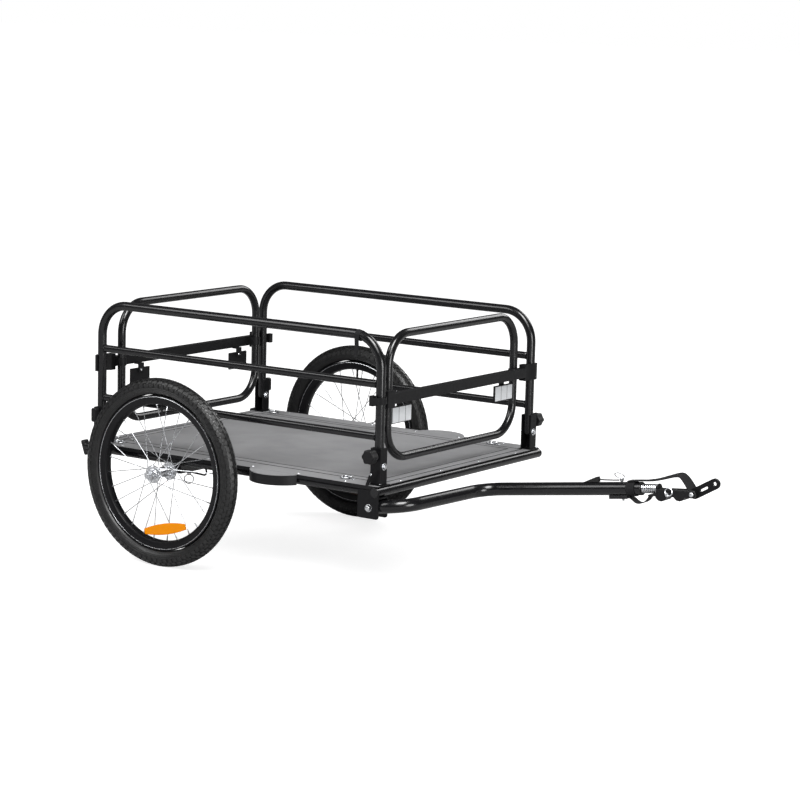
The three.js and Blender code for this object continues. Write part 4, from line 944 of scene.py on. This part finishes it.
class FenceOperator(bpy.types.Operator):
    """Draw the side fences' bent hoops, with their welds, and the fence strap"""

    bl_idname = "trailer.fences"
    bl_label = "Fences"

    rails = ("middle_rail", "lower_rail")

    def execute(self, context):
        for side, s in SIDES:
            self.hoop(side, s)
            for part in self.rails:
                dress("fence_" + part + "_" + side, "paint")
        self.strap()
        return {"FINISHED"}

    def hoop(self, side, s):
        node = "fence_hoop_" + side
        y = s * POST_SIDE
        rise = FENCE_TOP - PIVOT_HEIGHT - FENCE_BEND
        tube = BentTube((REAR_POST, y, PIVOT_HEIGHT), Z_AXIS, POST_RADIUS)
        tube.run(rise).bend(Y_AXIS, pi / 2, FENCE_BEND)
        tube.run(FRONT_POST - REAR_POST - 2 * FENCE_BEND)
        tube.bend(Y_AXIS, pi / 2, FENCE_BEND).run(rise)
        bm = tube.close()
        foot = POST_RADIUS - FIT_GAP
        for x in (REAR_POST, FRONT_POST):
            add_dome(bm, (x, y, PIVOT_HEIGHT), -Z_AXIS, foot, foot, 24)
        finish("hoop_" + side, bm, "paint", body_of(node), node)
        welds = bmesh.new()
        for part in self.rails:
            rail = "fence_" + part + "_" + side
            for x, sign in ((REAR_POST, 1), (FRONT_POST, -1)):
                spot = middle(rail)
                spot.x = x + sign * (POST_RADIUS - 0.5 * MM)
                add_ring(welds, spot, X_AXIS, size_of(rail).z / 2, 1.7 * MM, 36, 8)
        finish("rail_welds_" + side, welds, "paint", body_of(node))

    def strap(self):
        """The strap sits on the first chord of the right hoop's front bend."""
        turn = pi / 16
        chord = FENCE_BEND * cos(turn)
        centre = Vector((
            FRONT_POST - FENCE_BEND + chord * sin(turn),
            -POST_SIDE,
            FENCE_TOP - FENCE_BEND + chord * cos(turn),
        ))
        run = Vector((cos(turn), 0, -sin(turn)))
        body = body_of("tie_strap")
        bm = bmesh.new()
        sleeve(bm, centre, run, POST_RADIUS + 0.35 * MM, POST_RADIUS + 2.1 * MM, 7.5 * MM)
        finish("fence_strap", bm, "webbing", body, "tie_strap", rounding=0.4 * MM)
        tail = bmesh.new()
        out = -(POST_RADIUS + 1.6 * MM)
        drops = ((0, 2), (-0.6, -10), (0.4, -26), (-1.0, -44), (-3, -54))
        points = [centre + Vector((0, out + across * MM, rise * MM)) for across, rise in drops]
        strip(tail, eased(points), 12 * MM, X_AXIS)
        thicken(finish("fence_strap_tail", tail, "webbing", body), 1.8 * MM)


class GateOperator(bpy.types.Operator):
    """Draw the end gates' bent hoops, their bars and their reflectors"""

    bl_idname = "trailer.gates"
    bl_label = "Gates"

    def execute(self, context):
        for end, e in ENDS:
            self.hoop(end)
            dress("gate_bar_" + end, "plastic", 1.0 * MM)
            self.screws(end, e)
            for side, _ in SIDES:
                self.reflector(end + "_" + side, e)
        return {"FINISHED"}

    def hoop(self, end):
        node = "gate_hoop_" + end
        size, centre = size_of(node), middle(node)
        radius = size.x / 2
        half_y = size.y / 2 - radius - GATE_BEND
        half_z = size.z / 2 - radius - GATE_BEND
        tube = BentTube((centre.x, 0, centre.z + size.z / 2 - radius), Y_AXIS, radius)
        tube.run(half_y)
        for straight in (2 * half_z, 2 * half_y, 2 * half_z, half_y):
            tube.bend(-X_AXIS, pi / 2, GATE_BEND).run(straight)
        bmesh.ops.remove_doubles(tube.bm, verts=tube.bm.verts, dist=3e-5)
        finish("hoop_" + end, tube.bm, "paint", body_of(node), node)

    def screws(self, end, e):
        bm = bmesh.new()
        face = middle("gate_hoop_" + end).x + e * 14 * MM
        out = size_of("gate_hoop_" + end).y / 2 - 35 * MM
        height = middle("gate_bar_" + end).z
        for _, s in SIDES:
            for rise in (-2.8 * MM, 2.8 * MM):
                add_dome(bm, (face, s * out, height + rise), X_AXIS * e, 2.4 * MM, 1.0 * MM)
        finish_steel("bar_screws_" + end, bm, body_of("gate_bar_" + end))

    def reflector(self, corner, e):
        node = "reflector_" + corner
        body = body_of(node)
        centre, size = middle(node), size_of(node)
        glass = bmesh.new()
        add_block(glass, centre + X_AXIS * e * 1.9 * MM, (4.0 * MM, size.y - 5 * MM, size.z - 5 * MM))
        finish("lens_" + corner, glass, "clear" if e > 0 else "red", body, node, rounding=1.0 * MM)
        case = bmesh.new()
        add_block(case, centre - X_AXIS * e * 1.2 * MM, (5.6 * MM, size.y, size.z))
        for share in (-1 / 6, 1 / 6):
            rib = centre + Vector((e * 1.8 * MM, share * size.y, 0))
            add_block(case, rib, (4.4 * MM, 2.6 * MM, size.z - 3 * MM))
        finish("reflector_case_" + corner, case, "plastic", body, rounding=0.8 * MM)
        bolt = bmesh.new()
        tab_face = centre - X_AXIS * e * (size.x / 2 + 3.2 * MM) + Z_AXIS * size.z * 0.37
        add_dome(bolt, tab_face, -X_AXIS * e, 3.2 * MM, 1.8 * MM)
        finish_steel("reflector_bolt_" + corner, bolt, body)


class WheelOperator(bpy.types.Operator):
    """Finish the wheels: treaded tyres, double-wall rims, laced spokes, hubs and reflectors"""

    bl_idname = "trailer.wheels"
    bl_label = "Wheels"

    tread_turns = (-76, -52, -27, 0, 27, 52, 76)
    tread_widths = (9.5 * MM, 8.0 * MM)
    tread_sunk = 0.8 * MM
    tread_share = 0.66  # of its pitch that a block fills
    rib_turns = (96, 108, 118, 128)
    section_steps = 24
    rim_half = 14 * MM
    rim_wall = 2.6 * MM
    rim_well = 7.6 * MM
    flange = 33 * MM
    flange_face = 1.75 * MM  # half a flange's thickness
    hub_half = 50 * MM
    hub_radius = 13 * MM
    lacing_radius = 20 * MM
    flange_spokes = 14
    reflector_turn = radians(12.5)

    def execute(self, context):
        for side, s in SIDES:
            self.tyre(side)
            self.rim(side)
            self.valve(side)
            self.hub(side)
            self.reflector(side)
            self.nuts(side, s)
        return {"FINISHED"}

    def tyre(self, side):
        node = "tyre_" + side
        centre = WHEEL_CENTRE[side]
        depth = sizes().tread_depth
        crown = TYRE_RADIUS - TYRE_HALF
        section = TYRE_HALF - depth
        start = -pi / 2 - TYRE_SEAT_TURN
        turns = [start - 2 * start * i / self.section_steps for i in range(self.section_steps + 1)]
        bm = bmesh.new()
        profile = [(crown + section * cos(turn), section * sin(turn)) for turn in turns]
        spun(bm, profile, centre, Y_AXIS, WHEEL_STEPS)
        pitches = sizes().tread_pitches
        reach = section + (depth - self.tread_sunk) / 2
        for row, turn in enumerate(self.tread_turns):
            angle = radians(turn)
            radius = crown + reach * cos(angle)
            place = (
                Matrix.Translation(centre)
                @ Matrix.Rotation(pi / pitches if row % 2 else 0.0, 4, "Y")
                @ Matrix.Translation((0, reach * sin(angle), radius))
                @ Matrix.Rotation(-angle, 4, "X")
            )
            size = (
                2 * pi * radius / pitches * self.tread_share,
                self.tread_widths[row % 2],
                depth + self.tread_sunk,
            )
            block = add_block(bm, (0, 0, 0), size, place)
            faces = list({face for vert in block for face in vert.link_faces})
            angle = 2 * pi * (pitches - 1) / pitches
            spin(bm, block + faces + edges_of(block), centre, Y_AXIS, angle, pitches - 1, use_duplicate=True)
        for turn in self.rib_turns:
            wall = radians(turn)
            for sign in (-1, 1):
                rib = centre + Y_AXIS * sign * section * sin(wall)
                add_ring(bm, rib, Y_AXIS, crown + section * cos(wall), 0.7 * MM, WHEEL_STEPS, 6)
        finish("tyre_tread_" + side, bm, "tyre", body_of(node), node)

    def rim(self, side):
        node = "rim_" + side
        centre = WHEEL_CENTRE[side]
        half, wall, well, inner = self.rim_half, self.rim_wall, self.rim_well, RIM_INNER
        seat = RIM_SEAT - FIT_GAP
        bm = bmesh.new()
        profile = [
            (inner, -half * 0.45), (inner, half * 0.45), (inner + 3 * MM, half * 0.85), (inner + well, half),
            (seat, half), (seat, half - wall), (seat - well, half - wall), (seat - well, wall - half),
            (seat, wall - half), (seat, -half), (inner + well, -half), (inner + 3 * MM, -half * 0.85),
        ]
        spun(bm, profile, centre, Y_AXIS, WHEEL_STEPS)
        finish("rim_ring_" + side, bm, "rim", body_of(node), node, rounding=0.5 * MM)
        # A thin plated bead round each face of the rim for the brake track, drawn as a bright line that is
        # partly a painted highlight.
        line = bmesh.new()
        for sign in (-1, 1):
            spot = centre + Y_AXIS * sign * (half - 0.1 * MM)
            add_ring(line, spot, Y_AXIS, seat - 4 * MM, 0.9 * MM, WHEEL_STEPS, 8)
        finish_steel("rim_line_" + side, line, body_of(node))

    def valve(self, side):
        bm = bmesh.new()
        top = WHEEL_CENTRE[side] + Z_AXIS * (RIM_INNER + 2 * MM)
        for start, end, radius, sides, tip in (
            (0, 20, 3.0 * MM, 16, None),
            (16, 25, 3.5 * MM, 12, 3.0 * MM),
            (1, 4, 5.0 * MM, 6, None),
        ):
            add_rod(bm, top - Z_AXIS * start * MM, top - Z_AXIS * end * MM, radius, sides, tip)
        finish("valve_" + side, bm, "rubber", body_of("rim_" + side), rounding=0.3 * MM)

    def hub(self, side):
        node = "hub_and_spokes_" + side
        centre = WHEEL_CENTRE[side]
        flange, face, body = self.flange, self.flange_face, self.hub_radius
        right = [
            (body, -flange / 3), (body, -flange + 3 * face), (15 * MM, -flange + face),
            (24 * MM, -flange + face), (24 * MM, -flange - face), (15 * MM, -flange - face),
            (14 * MM, -flange - 3 * face), (body, -self.hub_half), (6.5 * MM, -self.hub_half),
        ]
        bm = bmesh.new()
        spun(bm, right + [(radius, -height) for radius, height in reversed(right)], centre, Y_AXIS, 48)
        for s in (-1, 1):
            for i in range(self.flange_spokes):
                self.spoke(bm, centre, s, i)
            add_ring(bm, centre + Y_AXIS * s * 16 * MM, Y_AXIS, body + 0.2 * MM, 0.8 * MM, 40, 6)
        finish("hub_" + side, bm, "steel", body_of(node), node)

    def spoke(self, bm, centre, s, i):
        """A spoke from its flange to the rim, every second one leading, with its head and nipple."""
        pitch = 2 * pi / self.flange_spokes
        at_rim = (i + 0.25) * pitch + (pitch / 2 if s > 0 else 0)
        sign = -1 if i % 2 else 1
        at_hub = at_rim + sign * 2 * pitch
        thin = sizes().spoke
        reach = RIM_INNER * cos(pi / 40) - FIT_GAP

        def spot(radius, angle, across):
            return centre + Vector((radius * cos(angle), across, radius * sin(angle)))

        start = spot(self.lacing_radius, at_hub, s * self.flange + sign * (self.flange_face + thin / 2))
        end = spot(reach, at_rim, s * 3 * MM)
        seated = spot(self.lacing_radius, at_hub, s * self.flange - sign * self.flange_face)
        add_rod(bm, start, end, thin, 8)
        add_rod(bm, start, seated, thin, 8)
        add_dome(bm, seated, seated - start, 2.4 * MM, 1.2 * MM, 8)
        add_rod(bm, end, end + (start - end).normalized() * 12 * MM, 1.9 * MM, 8, 1.5 * MM)

    def reflector(self, side):
        node = "wheel_reflector_" + side
        clips = bmesh.new()
        plate = middle(node)
        along = Vector((cos(self.reflector_turn), 0, sin(self.reflector_turn)))
        inward = -1 if plate.y > WHEEL_CENTRE[side].y else 1
        for shift in (-46 * MM, 46 * MM):
            add_block(clips, plate + along * shift + Y_AXIS * inward * 4.0 * MM, (5 * MM, 3.0 * MM, 9 * MM))
        body = body_of("hub_and_spokes_" + side)
        finish("reflector_clips_" + side, clips, "plastic", body, rounding=0.5 * MM)
        dress(node, "amber", 1.2 * MM)

    def nuts(self, side, s):
        node = "wheel_axle_" + side
        low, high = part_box(node)
        spot = WHEEL_CENTRE[side].copy()
        spot.y = (high.y if s > 0 else low.y) - s * 8.2 * MM
        bm = bmesh.new()
        for start, end, radius, sides in ((0, 1.5, 11.5, 32), (1.5, 8.5, 9.6, 6), (8.5, 9.8, 4.5, 16)):
            add_rod(bm, spot + Y_AXIS * s * start * MM, spot + Y_AXIS * s * end * MM, radius * MM, sides)
        finish_steel("axle_nut_" + side, bm, body_of(node), 0.4 * MM)


class PinOperator(bpy.types.Operator):
    """Finish the ring pins and draw the tie-down rings in round wire"""

    bl_idname = "trailer.pins"
    bl_label = "Pins and rings"

    def execute(self, context):
        for node in ("axle_pin_right", "axle_pin_left", "tow_pin", "coupler_pin"):
            dress(node, "steel", 0.3 * MM)
        for corner, e, _ in CORNERS:
            node = "tie_ring_" + corner
            dip = Matrix.Rotation(radians(-2) * e, 3, "Y")
            bm = bmesh.new()
            centre = TIE_RINGS[corner] - dip @ X_AXIS * e * RING_RADIUS
            add_ring(bm, centre, dip @ Z_AXIS, RING_RADIUS, RING_WIRE, 48, 12)
            finish("ring_" + corner, bm, "steel", body_of(node), node)
        return {"FINISHED"}


class TowOperator(bpy.types.Operator):
    """Draw the bent tow bar and finish its hitch"""

    bl_idname = "trailer.tow"
    bl_label = "Tow bar and hitch"

    heel = 12 * MM  # the bar's end behind its bolt
    crank = (93 * MM, 131 * MM)
    bend = 66 * MM
    spring_wire = 1.9 * MM
    spring_radius = 10.1 * MM
    spring_turns = 8
    strap_width = 24 * MM
    # along the bar from its bolt and above its axis in millimetres, and the twist in degrees
    strap_over = (
        (566, 20.3, 0), (590, 20.4, 0), (618, 20.4, 6), (644, 22.0, 12), (672, 27, 16), (700, 32.6, 20),
        (716, 32.4, 30), (727, 22, 38), (736, 8, 40), (744, -6, 36),
    )
    strap_under = (
        (564, -20.4, 0), (572, -24, 0), (586, -34.5, 0), (600, -35.4, 0), (614, -29.5, 0), (624, -19, 0),
    )

    def execute(self, context):
        self.bar()
        self.core()
        self.spring()
        self.safety_strap()
        dress("pin_tether", "rubber", 0.5 * MM)
        dress("coupler", "plastic", 1.4 * MM)
        dress("axle_plate", "plate", 1.2 * MM)
        self.bolts()
        return {"FINISHED"}

    def bar(self):
        cross = TOW_SIDE - TOW_PIVOT.y
        first, second = self.crank
        slope = atan2(cross, second - first)
        cut = self.bend * tan(slope / 2)
        start = TOW_PIVOT - TOW_FORWARD * self.heel
        tube = BentTube(start, TOW_FORWARD, TOW_RADIUS, 32)
        tube.run(self.heel + first - cut)
        tube.bend(TOW_UP, slope, self.bend)
        tube.run(hypot(cross, second - first) - 2 * cut)
        tube.bend(-TOW_UP, slope, self.bend)
        tube.run(TOW_TIP - second - cut)
        tube.taper(TOW_BORE / TOW_RADIUS).run(-75.5 * MM)
        bm = tube.close()
        saddle = on_bar(TOW_TIP - 68 * MM, -TOW_RADIUS - 3.5 * MM)
        add_block(bm, saddle, (52 * MM, 20 * MM, 9 * MM), Matrix.Rotation(-TOW_RISE, 4, "Y"))
        finish("tow_tube", bm, "paint", body_of("tow_bar"), "tow_bar", rounding=0.8 * MM)
        plug = bmesh.new()
        add_rod(plug, start - TOW_FORWARD * 1.5 * MM, start + TOW_FORWARD * 3 * MM, TOW_RADIUS - 1.2 * MM, 32)
        finish("tow_plug", plug, "plastic", body_of("tow_bar"), rounding=0.8 * MM)

    def core(self):
        bm = bmesh.new()
        shoulder = on_bar(TOW_TIP - 0.2 * MM)
        add_rod(bm, on_bar(TOW_TIP - 75 * MM), shoulder, 12.4 * MM, 32)
        lap = 1 * MM
        tube = BentTube(shoulder - TOW_FORWARD * lap, TOW_FORWARD, 6 * MM, 24, bm)
        for _ in range(HOOP_STEPS):
            tube.run((SPRING_END - TOW_TIP + lap) / HOOP_STEPS)
        bend_with_hitch(finish("core", tube.close(), "rubber", None, "flex_core"))

    def spring(self):
        wire = self.spring_wire
        steps = self.spring_turns * 24
        climb = TOW_FORWARD * ((SPRING_END - TOW_TIP - 2 * wire) / steps)
        begin = on_bar(TOW_TIP + wire)
        bm = bmesh.new()
        circle = add_circle(bm, begin + TOW_UP * self.spring_radius, Y_AXIS, wire, 10, True)
        turned = self.spring_turns * 2 * pi
        last = spin(bm, circle + edges_of(circle), begin, TOW_FORWARD, turned, steps, climb)
        bmesh.ops.edgenet_fill(bm, edges=edges_in(last))
        bend_with_hitch(finish("spring_wire", bm, "steel", None, "hitch_spring"))

    def safety_strap(self):
        bm = bmesh.new()
        collar = on_bar(TOW_TIP - 28 * MM)
        sleeve(bm, collar, TOW_FORWARD, TOW_RADIUS + 0.6 * MM, TOW_RADIUS + 2.4 * MM, self.strap_width / 2)
        body = body_of("safety_strap")
        finish("strap_collar", bm, "webbing", body, rounding=0.4 * MM)
        for name, places, replaced in (
            ("strap_upper", self.strap_over, "safety_strap"),
            ("strap_loop", self.strap_under, None),
        ):
            bm = bmesh.new()
            points = eased([on_bar(along * MM, up * MM) for along, up, _ in places])
            turns = [radians(places[i // EASE_STEPS][2]) for i in range(len(points))]
            windows = [turns[max(0, i + 1 - EASE_STEPS):i + 1] for i in range(len(turns))]
            strip(bm, points, self.strap_width, Y_AXIS, [sum(window) / len(window) for window in windows])
            piece = finish(name, bm, "webbing", None, replaced)
            thicken(piece, 1.9 * MM)
            bend_with_hitch(piece)

    def bolts(self):
        bolts = bmesh.new()
        rivet = bmesh.new()
        pivot = on_bar(SPRING_END + 100 * MM, -13 * MM)
        for s in (-1, 1):
            add_bolt(bolts, TOW_PIVOT + Y_AXIS * s * (TOW_RADIUS + 4 * MM), Y_AXIS * s, 7.6 * MM, 4.6 * MM)
            add_dome(rivet, pivot + Y_AXIS * s * 21.4 * MM, Y_AXIS * s, 6 * MM, 2.4 * MM, 20)
        finish_steel("tow_bolt", bolts, "chassis", 0.4 * MM)
        finish_steel("fork_rivet", rivet, body_of("coupler"))


OPERATORS = (
    StageOperator,
    FrameOperator,
    DeckOperator,
    BracketOperator,
    FenceOperator,
    GateOperator,
    WheelOperator,
    PinOperator,
    TowOperator,
)


class TrailerPanel(bpy.types.Panel):
    """The trailer's sizes, colours and pieces"""

    bl_idname = "VIEW3D_PT_trailer"
    bl_label = "Cargo trailer"
    bl_space_type = "VIEW_3D"
    bl_region_type = "UI"
    bl_category = "Trailer"

    def draw(self, context):
        layout = self.layout
        for group in (context.scene.trailer_sizes, context.scene.trailer_colours):
            for name in group.__annotations__:
                layout.prop(group, name)
        for operator in OPERATORS:
            layout.operator(operator.bl_idname)


CLASSES = (TrailerSizes, TrailerColours, *OPERATORS, TrailerPanel)


def register():
    for cls in CLASSES:
        bpy.utils.register_class(cls)
    bpy.types.Scene.trailer_sizes = PointerProperty(type=TrailerSizes)
    bpy.types.Scene.trailer_colours = PointerProperty(type=TrailerColours)


def unregister():
    del bpy.types.Scene.trailer_colours
    del bpy.types.Scene.trailer_sizes
    for cls in reversed(CLASSES):
        bpy.utils.unregister_class(cls)


def main():
    register()
    for operator in OPERATORS:
        group, name = operator.bl_idname.split(".")
        getattr(getattr(bpy.ops, group), name)()


if __name__ == "__main__":
    main()
